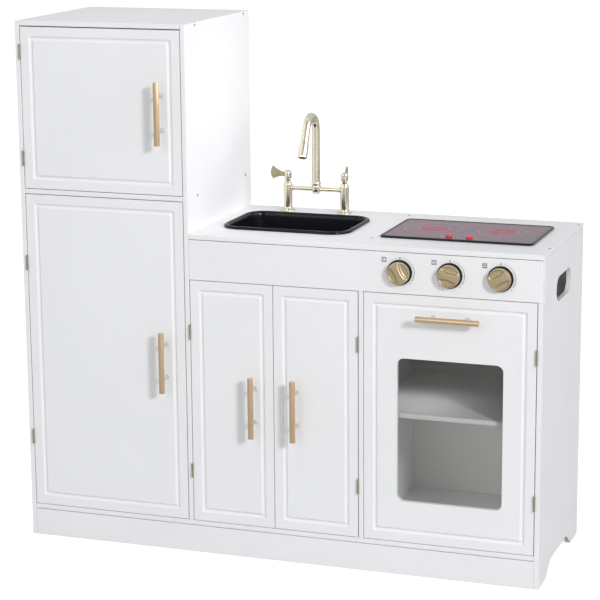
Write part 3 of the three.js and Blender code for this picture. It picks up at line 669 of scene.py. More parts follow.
def arc(radius, start, end, steps=24, centre=(0, 0)):
    """Points on an arc, angles in degrees."""
    turns = (math.radians(start + (end - start) * k / steps) for k in range(steps + 1))
    return [(centre[0] + radius * math.cos(a), centre[1] + radius * math.sin(a)) for a in turns]


def circle(radius, sides=48, centre=(0, 0)):
    return arc(radius, 0, 360, sides, centre)[:-1]


def square(half, centre=(0, 0)):
    corners = ((half, -half), (half, half), (-half, half), (-half, -half))
    return [(centre[0] + x, centre[1] + y) for x, y in corners]


def curve(start, pull, end, steps=8):
    """Points on a quadratic curve, its first point left out."""
    a, b, c = Vector(start), Vector(pull), Vector(end)
    shares = (k / steps for k in range(1, steps + 1))
    return [tuple(a.lerp(b, t).lerp(b.lerp(c, t), t)) for t in shares]


def rounded_outline(x0, x1, y0, y1, corner, steps=10):
    points = []
    centres = ((x1 - corner, y0 + corner), (x1 - corner, y1 - corner),
               (x0 + corner, y1 - corner), (x0 + corner, y0 + corner))
    for quarter, centre in enumerate(centres):
        points += arc(corner, 90 * quarter - 90, 90 * quarter, steps, centre)
    return points


def ease(bm, width, segments=3, angle=40):
    """Rounds every edge sharper than angle."""
    edges = [e for e in bm.edges if e.is_manifold and e.calc_face_angle(0) > math.radians(angle)]
    bmesh.ops.bevel(bm, geom=edges, offset=width, segments=segments, profile=0.6, affect="EDGES",
                    clamp_overlap=True)
    return bm


def merge(target, *parts):
    """Adds the parts' meshes to target as separate shells."""
    for part in parts:
        mesh = bpy.data.meshes.new("part")
        part.to_mesh(mesh)
        part.free()
        target.from_mesh(mesh)
        bpy.data.meshes.remove(mesh)
    return target


def moved(bm, home):
    bm.transform(home)
    return bm


def repeated(make, homes):
    """One mesh of several copies, each made afresh and moved to its home."""
    return merge(bmesh.new(), *(moved(make(), home) for home in homes))


def piece(name, bm, materials, body, stands_for=()):
    """Makes a piece of the object from a mesh that is already in place."""
    bmesh.ops.recalc_face_normals(bm, faces=bm.faces)
    mesh = bpy.data.meshes.new(name)
    bm.to_mesh(mesh)
    bm.free()
    mesh.shade_smooth()
    mesh.set_sharp_from_angle(angle=math.radians(SHARP_ANGLE))
    for material in materials if isinstance(materials, (list, tuple)) else [materials]:
        mesh.materials.append(material)
    obj = bpy.data.objects.new(name, mesh)
    bpy.context.scene.collection.objects.link(obj)
    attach(obj, body)
    if stands_for:
        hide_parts(*stands_for)
    return obj


def screw_head(radius, proud, sides=24):
    """A cross-head screw's head about Z, its top at proud. Its recess has the second material, a near-black
    painted shade.
    """
    bm = bmesh.new()
    edge = min(0.25 * radius, 0.6 * proud)
    top = [bm.verts.new((x, y, proud)) for x, y in circle(radius - edge, sides)]
    shoulder = [bm.verts.new((x, y, proud - edge)) for x, y in circle(radius, sides)]
    foot = [bm.verts.new((x, y, -PRINT_SUNK)) for x, y in circle(radius, sides)]
    span_loops(bm, top, shoulder)
    span_loops(bm, shoulder, foot)
    bm.faces.new(foot)
    arm, reach = SCREW_ARM * radius, SCREW_REACH * radius
    corner = [Vector((reach, -arm, 0)), Vector((reach, arm, 0)), Vector((arm, arm, 0))]
    cross = [Matrix.Rotation(math.pi / 2 * k, 3, "Z") @ p for k in range(4) for p in corner]
    rim = [bm.verts.new((p.x, p.y, proud)) for p in cross]
    pit = [bm.verts.new((p.x * SCREW_TAPER, p.y * SCREW_TAPER, proud * SCREW_FLOOR)) for p in cross]
    for ring in (top, rim):
        for one, two in zip(ring, ring[1:] + ring[:1]):
            if bm.edges.get((one, two)) is None:
                bm.edges.new((one, two))
    bm.edges.ensure_lookup_table()
    loops = [bm.edges.get((a, b)) for ring in (top, rim) for a, b in zip(ring, ring[1:] + ring[:1])]
    bmesh.ops.triangle_fill(bm, edges=loops, use_beauty=True, normal=(0, 0, 1))
    before = set(bm.faces)
    span_loops(bm, rim, pit)
    bm.faces.new(pit)
    # The recess faces take the second material, which paints their shade near-black.
    for face in set(bm.faces) - before:
        face.material_index = 1
    return bm


def screws(name, places, facing, size, body):
    """One piece of several screw heads, each turned a little further than the last."""
    homes = []
    for n, place in enumerate(places):
        spin = Matrix.Rotation(math.radians(SCREW_FIRST_TURN + SCREW_TURN_STEP * n), 4, "Z")
        homes.append(Matrix.Translation(place) @ FACING[facing] @ spin)
    heads = repeated(lambda: screw_head(**size), homes)
    return piece(name, heads, [SCREW_STEEL, PAINTED_RECESS_SHADE], body)


# ---- the frame's own parts ----


def dress_frame():
    """Gives the CAD parts that stay their finishes and slightly rounded edges."""
    for material, nodes in NODE_FINISH.items():
        for name in nodes:
            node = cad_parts[name]
            node.data.materials.clear()
            node.data.materials.append(material)
            round_edges(node, DOOR_EDGE if name in DOORS else BOARD_EDGE)


def clear_pane():
    """Light passes the tinted pane freely, so that the oven's inside is lit as in a bright room."""
    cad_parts["oven_window"].visible_shadow = False


def round_edges(node, width):
    """Joins the mesh's flat faces, rounds its edges and keeps its flat faces looking flat."""
    weld = node.modifiers.new("weld", "WELD")
    weld.merge_threshold = 0.01 * MM
    flat = node.modifiers.new("planar", "DECIMATE")
    flat.decimate_type = "DISSOLVE"
    flat.angle_limit = math.radians(0.5)
    bevel = node.modifiers.new("bevel", "BEVEL")
    bevel.width = width
    bevel.segments = 2
    bevel.limit_method = "ANGLE"
    bevel.angle_limit = math.radians(30)
    normals = node.modifiers.new("normals", "WEIGHTED_NORMAL")
    normals.weight = 100


# ---- handles ----


def handle(node, door):
    """A bar on two posts, and the washers and screws that hold it on the door's back."""
    low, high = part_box(node)
    centre = (low + high) / 2
    level = high.x - low.x > high.z - low.z
    half = max(high.x - low.x, high.z - low.z) / 2
    home = Matrix.Translation((centre.x, low.y + BAR_RADIUS, centre.z)) @ FACING["right" if level else "up"]
    body = DOOR_BODIES[door]
    bar = moved(rod(BAR_RADIUS, -half, half, BAR_END), home)
    piece(f"{node}_bar", bar, BARS["level" if level else "upright"], body, [node])
    seats = [home @ Matrix.Translation((0, 0, side * POST_SPACING / 2)) for side in (-1, 1)]
    posts = repeated(lambda: turned(POST_PROFILE, POST_EDGE, sides=28), [s @ FACING["back"] for s in seats])
    piece(f"{node}_posts", posts, POSTS, body)
    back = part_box(door)[1].y
    holes = [Vector((s.translation.x, back, s.translation.z)) for s in seats]
    washers = repeated(
        lambda: rod(WASHER_RADIUS, 0, WASHER_THICKNESS, WASHER_EDGE, sides=28),
        [Matrix.Translation(p) @ FACING["back"] for p in holes],
    )
    piece(f"{node}_washers", washers, SCREW_STEEL, body)
    heads = [p + Vector((0, WASHER_THICKNESS, 0)) for p in holes]
    screws(f"{node}_screws", heads, "back", HANDLE_SCREW, body)


# ---- hinges ----


def leaf_plate(side, length, depth, notches):
    """A hinge leaf in Y and Z on one side of the axis. notches are the (low, high) stretches
    where its own knuckles hold it, where it reaches in to the barrel."""
    root, half = BARREL_RADIUS + KNUCKLE_GAP, length / 2
    inner = []
    for low, high in notches:
        inner += [(root, low), (LEAF_ROOT, low), (LEAF_ROOT, high), (root, high)]
    outline = list(dict.fromkeys([(root, -half), *inner, (root, half)]))
    outline += arc(LEAF_CORNER, 90, 0, 6, (depth - LEAF_CORNER, half - LEAF_CORNER))
    outline += arc(LEAF_CORNER, 0, -90, 6, (depth - LEAF_CORNER, -half + LEAF_CORNER))
    stand = Matrix(((0, 0, side, 0), (1, 0, 0, 0), (0, 1, 0, 0), (0, 0, 0, 1)))
    return moved(slab(bmesh.new(), outline, LEAF_NEAR, LEAF_FAR), stand)


def hinge(door, level):
    """Two leaves with their knuckles. The pin stays with the frame's leaf."""
    frame_node, door_node = (f"{door}_{level}_hinge_{part}_leaf" for part in ("frame", "door"))
    low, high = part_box(frame_node)
    axis = Vector(((low.x + high.x) / 2, low.y + BARREL_RADIUS, (low.z + high.z) / 2))
    length, depth = high.z - low.z, high.y - axis.y
    half, knuckle = length / 2, (length - 2 * KNUCKLE_GAP) / 3
    door_low, door_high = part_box(door)
    to_door = 1 if (door_low.x + door_high.x) / 2 > axis.x else -1
    ends = [(-half, -half + knuckle), (half - knuckle, half)]
    middle = [(-knuckle / 2, knuckle / 2)]
    leaves = (
        (frame_node, "cabinet", -to_door, ends), (door_node, DOOR_BODIES[door], to_door, middle),
    )
    for node, body, side, knuckles in leaves:
        leaf = leaf_plate(side, length, depth, knuckles)
        for bottom, top in knuckles:
            merge(leaf, rod(BARREL_RADIUS, bottom, top, KNUCKLE_EDGE, sides=24))
        if node == frame_node:
            merge(leaf, rod(PIN_RADIUS, PIN_INSET - half, half - PIN_INSET, PIN_EDGE, sides=16))
        # The heads face the other leaf, which is what shows when the door is open.
        turn = FACING["right" if side < 0 else "left"]
        for z in (-half * LEAF_SCREW_HEIGHT, half * LEAF_SCREW_HEIGHT):
            place = Matrix.Translation((side * LEAF_NEAR, depth * LEAF_SCREW_DEPTH, z))
            merge(leaf, moved(screw_head(**LEAF_SCREW, sides=16), place @ turn))
        leaf.transform(Matrix.Translation(axis))
        piece(f"{node}_plate", leaf, [HINGE, PAINTED_RECESS_SHADE], body, [node])


# ---- knobs ----


def knob_height(along, across, radius):
    """Height of the knob's front at a point: a waisted grip between two scoops, inside a rim."""
    half = GRIP_WAIST + GRIP_FLARE * (along / KNOB_RADIUS) ** 2
    ridge = 1 - smooth((abs(across) - half) / GRIP_SLOPE)
    scoop = KNOB_FACE - KNOB_SCOOP * smooth((KNOB_RADIUS - KNOB_RIM - radius) / KNOB_SCOOP_SLOPE)
    crown = KNOB_TOP - KNOB_CROWN_DROP * (radius / KNOB_RADIUS) ** 2
    inside = (KNOB_RADIUS - GRIP_END_INSET - radius) / GRIP_END_SLOPE
    return scoop + (crown - scoop) * ridge * min(1, max(0, inside))


def knob_body():
    """The knob about Z: turned sides and back, and a sculpted front."""
    bm = bmesh.new()
    sides = [(KNOB_RADIUS - KNOB_BACK_EDGE, KNOB_BACK), (KNOB_RADIUS, KNOB_BACK + KNOB_BACK_EDGE),
             (KNOB_RADIUS, KNOB_FACE - KNOB_EDGE)]
    loops = [[bm.verts.new((0, 0, KNOB_BACK))]]
    for radius, height in sides:
        loops.append([bm.verts.new((x, y, height)) for x, y in circle(radius, KNOB_SIDES)])
    drop = KNOB_EDGE * KNOB_EDGE_SHARE
    front = [(KNOB_RADIUS - drop, drop)]
    front += [(KNOB_RADIUS - KNOB_EDGE - k * KNOB_RING_STEP, 0) for k in range(KNOB_RINGS)]
    for radius, down in front:
        ring = circle(radius, KNOB_SIDES)
        loops.append([bm.verts.new((x, y, knob_height(x, y, radius) - down)) for x, y in ring])
    loops.append([bm.verts.new((0, 0, knob_height(0, 0, 0)))])
    for low, high in zip(loops, loops[1:]):
        span_loops(bm, low, high)
    return bm


def knob(n):
    """A knob on its shaft, the washer that keeps it, the ring behind it and the prints round it."""
    low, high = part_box(f"knob_bezel_{n}")
    centre = (low + high) / 2
    front, back = (corner.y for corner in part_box("control_panel"))
    home = Matrix.Translation((centre.x, front, centre.z)) @ FACING["front"]
    bezel = ring_solid(BEZEL_HOLE, BEZEL_RADIUS, 0, BEZEL_THICKNESS, BEZEL_EDGE, sides=64)
    bezel.transform(home @ Matrix.Translation((0, 0, BEZEL_LIFT)))
    piece(f"knob_bezel_{n}_ring", bezel, BLACK, "cabinet", [f"knob_bezel_{n}"])
    shaft = rod(SHAFT_RADIUS, front - back - SHAFT_TAIL, KNOB_BACK + SHAFT_OVERLAP, SHAFT_EDGE, sides=24)
    cap = merge(knob_body(), shaft)
    cap.transform(home @ Matrix.Rotation(math.radians(KNOB_TURN[n - 1]), 4, "Z"))
    piece(f"knob_{n}_cap", cap, KNOB_GOLD, f"knob_{n}_turning", [f"knob_{n}"])
    clip = front - back - CLIP_FROM_PANEL
    washer = ring_solid(SHAFT_RADIUS, CLIP_RADIUS, clip, clip + CLIP_THICKNESS, WASHER_EDGE, sides=32)
    washer.transform(home)
    piece(f"knob_{n}_retaining_washer", washer, SCREW_STEEL, f"knob_{n}_turning")
    dial_marks(n, home)
    symbol(n, home)


def dial_marks(n, home):
    """The ticks, the off mark and the fine sweep printed round a knob."""
    bm = bmesh.new()
    for angle in DIAL_MARKS:
        direction = Vector((math.cos(math.radians(angle)), math.sin(math.radians(angle))))
        across = Vector((-direction.y, direction.x)) * DIAL_MARK_HALF
        start, end = direction * (DIAL_RADIUS - DIAL_MARK_IN), direction * (DIAL_RADIUS + DIAL_MARK_OUT)
        corners = (start - across, end - across, end + across, start + across)
        slab(bm, [tuple(p) for p in corners], *PRINT_LEVELS)
    strip(bm, *(circle(radius, 20, OFF_MARK_PLACE) for radius in OFF_MARK_RADII), *PRINT_LEVELS)
    outer, inner = [], []
    for k in range(SWEEP_STEPS + 1):
        angle = SWEEP_START - SWEEP_TURN * k / SWEEP_STEPS
        half = DIAL_LINE * (SWEEP_THIN + SWEEP_SWELL * k / SWEEP_STEPS) / 2
        outer += arc(DIAL_RADIUS + half, angle, angle, 1)[:1]
        inner += arc(DIAL_RADIUS - half, angle, angle, 1)[:1]
    strip(bm, outer, inner, *PRINT_LEVELS, closed=False)
    piece(f"knob_{n}_dial_marks", moved(bm, home), DARK_INK, "cabinet")


def hob_symbol(bm, filled):
    """Four dots for four rings, those on one side filled."""
    for side in (-1, 1):
        for row in (-1, 1):
            centre = (side * SYMBOL_DOT_PLACE, row * SYMBOL_DOT_PLACE)
            dot = circle(SYMBOL_DOT, 20, centre)
            if side == filled:
                slab(bm, dot, *PRINT_LEVELS)
            else:
                strip(bm, dot, circle(SYMBOL_DOT * 0.5, 20, centre), *PRINT_LEVELS)


def oven_symbol(bm):
    """A bar above a small square pane."""
    edges = (OVEN_SYMBOL_BAR + side * SYMBOL_LINE / 2 for side in (1, -1))
    strip(bm, *([(-SYMBOL_HALF, y), (SYMBOL_HALF, y)] for y in edges), *PRINT_LEVELS, closed=False)
    strip(bm, *(square(half, OVEN_SYMBOL_PANE) for half in OVEN_SYMBOL_PANE_HALVES), *PRINT_LEVELS)


def symbol(n, home):
    """A small printed symbol: a hob square with one of its sides filled, or an oven."""
    bm = bmesh.new()
    strip(bm, square(SYMBOL_HALF), square(SYMBOL_HALF - SYMBOL_LINE), *PRINT_LEVELS)
    if n < 3:
        hob_symbol(bm, (-1, 1)[n - 1])
    else:
        oven_symbol(bm)
    bm.transform(home @ Matrix.Translation((*SYMBOL_OFFSET, 0)))
    piece(f"knob_{n}_symbol", bm, DARK_INK, "cabinet")


# ---- sink ----


def sink():
    """A moulded bowl: up its outside, over the rolled rim, and down its inside to the floor."""
    low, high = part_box("sink_basin")
    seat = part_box("worktop")[1].z + SINK_LIFT
    floor_top = low.z + SINK_WALL
    start, end = (SINK_FOOT_START, floor_top + SINK_FOOT_HEIGHT), (SINK_FOOT_END, floor_top)
    foot = [start, *curve(start, (SINK_FOOT_CORNER, floor_top), end, 6)]
    outside = [(inset, seat + rise) for inset, rise in SINK_RIM_UNDER]
    outside += [(inset - SINK_SKIN[0], z - SINK_SKIN[1]) for inset, z in foot]
    inside = [(inset, seat + rise) for inset, rise in SINK_RIM] + foot
    loops = []
    for inset, z in [*reversed(outside), *inside]:
        corner = max(SINK_CORNER - inset, SINK_LEAST_CORNER)
        sides = (low.x + inset, high.x - inset, low.y + inset, high.y - inset)
        loops.append([(x, y, z) for x, y in rounded_outline(*sides, corner, 12)])
    piece("sink_bowl", loft(loops), BLACK, "cabinet", ["sink_basin"])


# ---- tap ----


def tap_stations():
    """The two pillars' X, the tap's Y and the height it stands on."""
    low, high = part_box("faucet_body")
    return (low.x + FLANGE_RADIUS, high.x - FLANGE_RADIUS), (low.y + high.y) / 2, low.z


def tap_body():
    """Two pillars, and the bridge between them with the hub that the spout stands in."""
    pillars, y, base = tap_stations()
    middle, half = sum(pillars) / 2, (pillars[1] - pillars[0]) / 2
    homes = [Matrix.Translation((x, y, base)) for x in pillars]
    pair = repeated(lambda: turned(PILLAR_PROFILE, PILLAR_EDGE, sides=48), homes)
    piece("tap_pillars", pair, CHAMPAGNE, "cabinet", ["faucet_body"])
    bridge = rod(BRIDGE_RADIUS, BRIDGE_INSET - half, half - BRIDGE_INSET, BRIDGE_EDGE)
    bridge.transform(Matrix.Translation((middle, y, base + BRIDGE_HEIGHT)) @ FACING["right"])
    for side in (-1, 1):
        place = Matrix.Translation((middle + side * (half - FERRULE_INSET), y, base + BRIDGE_HEIGHT))
        ferrule = rod(FERRULE_RADIUS, -FERRULE_HALF, FERRULE_HALF, FERRULE_EDGE)
        merge(bridge, moved(ferrule, place @ FACING["right"]))
    hub = moved(turned(HUB_PROFILE, HUB_EDGE, sides=48), Matrix.Translation((middle, y, base)))
    piece("tap_bridge", merge(bridge, hub), CHAMPAGNE, "cabinet")
    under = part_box("worktop")[0].z
    nuts = repeated(tap_nut, [Matrix.Translation((x, y, under)) for x in pillars])
    piece("tap_fixing_nuts", nuts, SCREW_STEEL, "cabinet")


def tap_nut():
    """One of the nuts that hold the tap from under the worktop, on its stud."""
    nut = ease(slab(bmesh.new(), circle(NUT_RADIUS, 6), -NUT_THICKNESS, NUT_OVERLAP), NUT_EDGE)
    return merge(nut, rod(FIXING_STUD_RADIUS, -FIXING_STUD_LENGTH, 0, NUT_EDGE, sides=20))


def spout_frame(along):
    """The spout's cross-section frame at a length along its centre line from the base."""
    turn = min(max(along - RISER_TOP, 0), BEND_LENGTH) / BEND_RADIUS
    fall = max(0, along - RISER_TOP - BEND_LENGTH)
    forward = BEND_RADIUS * (math.cos(turn) - 1) - fall * math.sin(turn)
    rise = min(along, RISER_TOP) + BEND_RADIUS * math.sin(turn) + fall * math.cos(turn)
    return Matrix.Translation((0, forward, rise)) @ Matrix.Rotation(turn, 4, "X")


def spout():
    """The bent pipe, the collar at its foot, and the nozzle with its aerator."""
    pillars, y, base = tap_stations()
    home = Matrix.Translation((sum(pillars) / 2, y, base))
    bend = [RISER_TOP + BEND_LENGTH * k / BEND_STEPS for k in range(BEND_STEPS + 1)]
    end = RISER_TOP + BEND_LENGTH + PIPE_FALL
    section = [Vector((*p, 0)) for p in circle(PIPE_RADIUS, 40)]
    pipe = loft([[spout_frame(along) @ p for p in section] for along in (PIPE_START, *bend, end)])
    piece("spout_pipe", moved(pipe, home), CHAMPAGNE, "spout", ["faucet_spout"])
    collar = moved(turned(COLLAR_PROFILE, COLLAR_EDGE, sides=48), home)
    piece("spout_collar", collar, CHAMPAGNE, "spout")
    nozzle = moved(turned(NOZZLE_PROFILE, NOZZLE_EDGE, sides=48), home @ spout_frame(end))
    piece("spout_nozzle", nozzle, CHAMPAGNE, "spout")
    aerator = moved(turned(AERATOR_PROFILE, AERATOR_EDGE, sides=36), home @ spout_frame(end))
    piece("spout_aerator", aerator, BLACK, "spout")


def lever(node, body, pillar, turn):
    """A turned hub on its pillar's stud, and the fan-shaped blade in it."""
    pillars, y, base = tap_stations()
    home = Matrix.Translation((pillars[pillar], y, base)) @ Matrix.Rotation(math.radians(turn), 4, "Z")
    points = [*LEVER_ROOT, *(p for part in LEVER_FAN for p in curve(*part)), *LEVER_END]
    outline = [(x * MM, z * MM) for x, z in points]
    blade = ease(slab(bmesh.new(), outline, -LEVER_THICKNESS / 2, LEVER_THICKNESS / 2), LEVER_EDGE)
    blade.transform(home @ Matrix.Translation((0, 0, LEVER_AXIS)) @ FACING["front"])
    hub = moved(turned(LEVER_HUB_PROFILE, LEVER_HUB_EDGE, sides=40), home)
    piece(f"{node}_hub", hub, CHAMPAGNE, body, [node])
    piece(f"{node}_blade", blade, LEVER_CHAMPAGNE, body)


# ---- hob ----


def hob_levels():
    """The bottom and top of a print on the hob's panel."""
    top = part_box("hob_glass")[1].z
    return top - PRINT_SUNK, top + HOB_PRINT_PROUD


def burner(name, centre, rings, turn):
    """Printed rings and the red heating pattern of one burner."""
    levels = hob_levels()
    lines = bmesh.new()
    for radius in rings:
        edges = (circle(radius + side * RING_HALF_LINE, 96, centre) for side in (1, -1))
        strip(lines, *edges, *levels)
    piece(f"{name}_rings", lines, PALE_INK, "cabinet")
    coil = bmesh.new()
    for radius in COIL_RADII:
        for start in range(0, 360, COIL_SECTOR):
            angles = (turn + start + COIL_GAP / 2, turn + start + COIL_SECTOR - COIL_GAP / 2)
            edges = (arc(r, *angles, 12, centre) for r in (radius + COIL_WIDTH, radius))
            strip(coil, *edges, *levels, closed=False)
    piece(f"{name}_glow", coil, RED_INK, "cabinet")


def hob_marks():
    """Small printed arcs outside the buttons, and a ring between them."""
    levels = hob_levels()
    marks = bmesh.new()
    boxes = (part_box(f"hob_button_{side}") for side in ("left", "right"))
    left, right = (((low.x + high.x) / 2, (low.y + high.y) / 2) for low, high in boxes)
    for button, middle in ((left, 180), (right, 0)):
        angles = (middle - BUTTON_ARC_HALF_TURN, middle + BUTTON_ARC_HALF_TURN)
        for radius in BUTTON_ARC_RADII:
            edges = (arc(radius + side * BUTTON_ARC_HALF_LINE, *angles, 10, button) for side in (1, -1))
            strip(marks, *edges, *levels, closed=False)
    between = ((left[0] + right[0]) / 2, (left[1] + right[1]) / 2)
    strip(marks, *(circle(radius, 24, between) for radius in BUTTON_RING_RADII), *levels)
    piece("hob_button_marks", marks, PALE_INK, "cabinet")


def hob_button(node, body):
    """A domed button, with the flange that keeps it under the panel and its stem."""
    low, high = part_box(node)
    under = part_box("hob_glass")[0].z - BUTTON_FLANGE_GAP
    shoulder = under - BUTTON_FLANGE_THICKNESS
    profile = [
        (0, low.z), (BUTTON_STEM, low.z), (BUTTON_STEM, shoulder), (BUTTON_FLANGE, shoulder),
        (BUTTON_FLANGE, under), (BUTTON_RADIUS, under),
        *((BUTTON_RADIUS - inset, high.z - drop) for inset, drop in BUTTON_DOME), (0, high.z),
    ]
    button = turned(profile, BUTTON_EDGE, sides=40)
    button.transform(Matrix.Translation(((low.x + high.x) / 2, (low.y + high.y) / 2, 0)))
    piece(f"{node}_cap", button, RED, body, [node])


# ---- screws and catches ----


def middle_of(node, axis):
    low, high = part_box(node)
    return (low[axis] + high[axis]) / 2


def cabinet_screws():
    """The screws through the worktop, through the fridge's sides and round the back boards."""
    low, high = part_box("worktop")
    rows = (low.y + WORKTOP_SCREWS_FRONT, high.y - WORKTOP_SCREWS_BACK)
    columns = [middle_of(node, 0) for node in ("oven_partition", "right_side_panel")]
    places = [Vector((x, y, high.z)) for x in columns for y in rows]
    screws("worktop_screws", places, "up", BOARD_SCREW, "cabinet")
    low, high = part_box("fridge_top_panel")
    depths = (low.y + SIDE_SCREWS_FRONT, high.y - SIDE_SCREWS_BACK)
    heights = [middle_of(node, 2) for node in ("fridge_top_panel", "freezer_floor_panel")]
    for node, facing, side in (("fridge_right_panel", "right", 1), ("left_side_panel", "left", 0)):
        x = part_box(node)[side].x
        places = [Vector((x, y, z)) for y in depths for z in heights]
        screws(f"{node}_screws", places, facing, BOARD_SCREW, "cabinet")
    for node in ("fridge_back_panel", "kitchen_back_panel"):
        back_board_screws(node)


def back_board_screws(node):
    """Small screws near the edges of a back board, spaced evenly."""
    low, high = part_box(node)
    inset = Vector((BACK_SCREW_INSET, 0, BACK_SCREW_INSET))
    first, last = low + inset, high - inset
    columns, rows = (max(1, round(side / BACK_SCREW_PITCH)) for side in (high.x - low.x, high.z - low.z))
    places = []
    for n in range(columns + 1):
        x = first.x + (last.x - first.x) * n / columns
        places += [Vector((x, high.y, z)) for z in (first.z, last.z)]
    for n in range(1, rows):
        z = first.z + (last.z - first.z) * n / rows
        places += [Vector((x, high.y, z)) for x in (first.x, last.x)]
    screws(f"{node}_screws", places, "back", BACK_SCREW, "cabinet")


def block(x, z, half_x, half_z, front, back, edge):
    """A softened block about (x, z), from front to back along Y."""
    corners = [(x - half_x, front), (x + half_x, front), (x + half_x, back), (x - half_x, back)]
    return ease(slab(bmesh.new(), corners, z - half_z, z + half_z), edge)


def catch(door, x, z):
    """A magnetic catch about (x, z) on the cabinet, and its strike plate on the door's back."""
    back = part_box(door)[1].y
    front = back + STRIKE_SPACE + CATCH_GAP
    half = (CATCH_LENGTH / 2, CATCH_HEIGHT / 2)
    body = block(x, z, *half, front, front + CATCH_DEPTH, CATCH_EDGE)
    piece(f"{door}_catch", body, WHITE_PLASTIC, "cabinet")
    half = (CATCH_LENGTH * MAGNET_SHARE, CATCH_HEIGHT * MAGNET_SHARE)
    magnet = block(x, z, *half, front - MAGNET_PROUD, front + MAGNET_DEPTH, MAGNET_EDGE)
    piece(f"{door}_catch_magnet", magnet, SCREW_STEEL, "cabinet")
    half = (CATCH_LENGTH * STRIKE_SHARE, CATCH_HEIGHT * STRIKE_SHARE)
    strike = block(x, z, *half, back - STRIKE_SUNK, back + STRIKE_PROUD, STRIKE_EDGE)
    piece(f"{door}_strike_plate", strike, SCREW_STEEL, DOOR_BODIES[door])


def catches():
    """One catch for each door, just above the board below its free edge."""
    reach = CATCH_HEIGHT / 2 + CATCH_GAP
    from_wall = CATCH_LENGTH / 2 + CATCH_FROM_WALL
    floor_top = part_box("base_panel")[1].z + reach
    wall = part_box("fridge_right_panel")[0].x
    catch("freezer_door", wall - from_wall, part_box("freezer_floor_panel")[1].z + reach)
    catch("fridge_door", wall - from_wall, floor_top)
    catch("cupboard_door_left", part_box("cupboard_door_left")[1].x - CATCH_FROM_DOOR_EDGE, floor_top)
    catch("cupboard_door_right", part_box("cupboard_door_right")[0].x + CATCH_FROM_DOOR_EDGE, floor_top)
    catch("oven_door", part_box("oven_partition")[1].x + from_wall, floor_top)


# ---- camera, floor and light ----


def camera():
    azimuth, elevation = math.radians(CAMERA_AZIMUTH), math.radians(CAMERA_ELEVATION)
    level = math.cos(elevation)
    back = Vector((math.sin(azimuth) * level, -math.cos(azimuth) * level, math.sin(elevation)))
    turn = back.to_track_quat("Z", "Y").to_matrix() @ Matrix.Rotation(math.radians(CAMERA_ROLL), 3, "Z")
    data = bpy.data.cameras.new("camera")
    data.lens = CAMERA_LENS
    data.clip_end = CAMERA_REACH
    obj = bpy.data.objects.new("camera", data)
    obj.matrix_world = Matrix.Translation(CAMERA_PLACE) @ turn.to_4x4()
    bpy.context.scene.collection.objects.link(obj)
    bpy.context.scene.camera = obj


def floor(name, z, tones, sockets):
    """A wide, even floor at height z."""
    finish = Finish(name, {"Roughness": 0.9, **sockets})
    finish.colour(finish.mix(finish.noise(FLOOR_CLOUD, 2), *((tone,) * 3 for tone in tones)))
    mesh = bpy.data.meshes.new(name)
    mesh.from_pydata([(x, y, z) for x, y in square(FLOOR_HALF)], [], [(0, 1, 2, 3)])
    mesh.materials.append(finish.material)
    obj = bpy.data.objects.new(name, mesh)
    bpy.context.scene.collection.objects.link(obj)
    return obj


def floors():
    """A bright floor that the camera sees, and a dimmer one that lights the kitchen from below."""
    glow = {"Specular IOR Level": 0.0, "Emission Color": (1, 1, 1, 1), "Emission Strength": SEEN_FLOOR_GLOW}
    seen = floor("studio_floor", -FLOOR_DROP, SEEN_FLOOR_TONES, glow)
    seen.visible_diffuse = seen.visible_glossy = seen.visible_shadow = seen.visible_transmission = False
    floor("floor_bounce", -2 * FLOOR_DROP, BOUNCE_FLOOR_TONES, {}).visible_camera = False


def area_light(name, place, target, size, power, spread=180):
    data = bpy.data.lights.new(name, "AREA")
    data.shape = "DISK"
    data.size = size
    data.energy = power
    data.spread = math.radians(spread)
    obj = bpy.data.objects.new(name, data)
    aim = (Vector(place) - Vector(target)).to_track_quat("Z", "Y")
    obj.matrix_world = Matrix.Translation(place) @ aim.to_matrix().to_4x4()
    obj.visible_camera = False
    bpy.context.scene.collection.objects.link(obj)


def lights():
    key = Vector(KEY_TARGET) + Vector(KEY_TOWARDS).normalized() * KEY_DISTANCE
    area_light("key_light", key, KEY_TARGET, KEY_SIZE, KEY_POWER)
    for name, light in LIGHTS.items():
        area_light(name, **light)


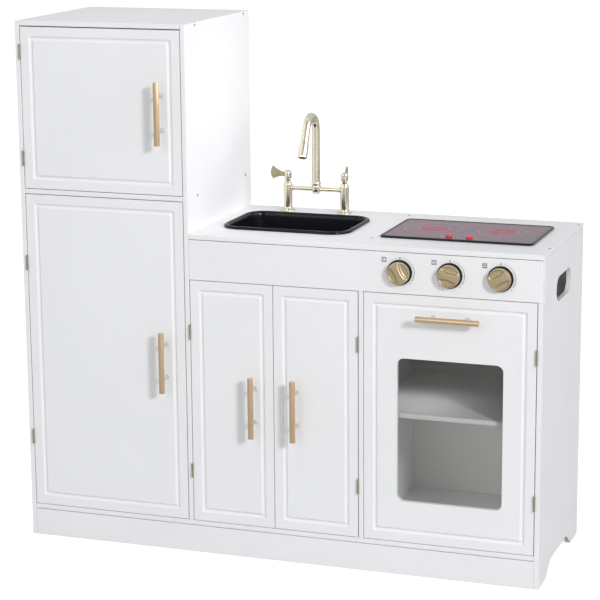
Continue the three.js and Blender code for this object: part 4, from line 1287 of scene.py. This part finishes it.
def studio():
    """Even light all round with one dark band, and white behind everything."""
    world = bpy.data.worlds.new("studio")
    world.use_nodes = True
    world.node_tree.nodes.clear()

    def add(kind, inputs=(), **settings):
        return add_node(world.node_tree, kind, inputs, **settings).outputs

    direction = add("ShaderNodeTexCoord")["Generated"]
    parts = add("ShaderNodeSeparateXYZ", {0: direction})
    steps = {0: parts[2], 1: -HORIZON_BLUR, 2: HORIZON_BLUR, 3: GROUND, 4: SKY}
    height = add("ShaderNodeMapRange", steps)[0]
    flat = add("ShaderNodeCombineXYZ", {0: parts[0], 1: parts[1]})[0]
    unit = add("ShaderNodeVectorMath", {0: flat}, operation="NORMALIZE")[0]
    azimuth = math.radians(DARK_BAND_AZIMUTH)
    centre = (math.sin(azimuth), -math.cos(azimuth), 0)
    facing = add("ShaderNodeVectorMath", {0: unit, 1: centre}, operation="DOT_PRODUCT")["Value"]
    outer = math.cos(math.radians(DARK_BAND_HALF + DARK_BAND_SOFT))
    inner = math.cos(math.radians(DARK_BAND_HALF))
    steps = {0: facing, 1: outer, 2: inner, 3: 1.0, 4: DARK_BAND_LEVEL}
    band = add("ShaderNodeMapRange", steps, interpolation_type="SMOOTHSTEP")[0]
    level = add("ShaderNodeMath", {0: height, 1: band}, operation="MULTIPLY")[0]
    lit = add("ShaderNodeBackground", {"Color": SKY_TINT, "Strength": level})[0]
    white = add("ShaderNodeBackground", {"Color": (1, 1, 1, 1), "Strength": 1.0})[0]
    seen = add("ShaderNodeLightPath")["Is Camera Ray"]
    mixed = add("ShaderNodeMixShader", {0: seen, 1: lit, 2: white})[0]
    add("ShaderNodeOutputWorld", {"Surface": mixed})
    bpy.context.scene.world = world


camera()
floors()
lights()
studio()
bpy.context.scene.view_settings.view_transform = "Standard"

dress_frame()
clear_pane()
for handle_node, door_node in HANDLES.items():
    handle(handle_node, door_node)
for door_name in DOORS:
    for hinge_level in ("upper", "lower"):
        hinge(door_name, hinge_level)
for number in (1, 2, 3):
    knob(number)
sink()
tap_body()
spout()
for lever_node, lever_facts in LEVERS.items():
    lever(lever_node, *lever_facts)
for burner_name, burner_facts in BURNERS.items():
    burner(burner_name, **burner_facts)
hob_marks()
for button_side in ("left", "right"):
    hob_button(f"hob_button_{button_side}", f"button_{button_side}")
cabinet_screws()
catches()
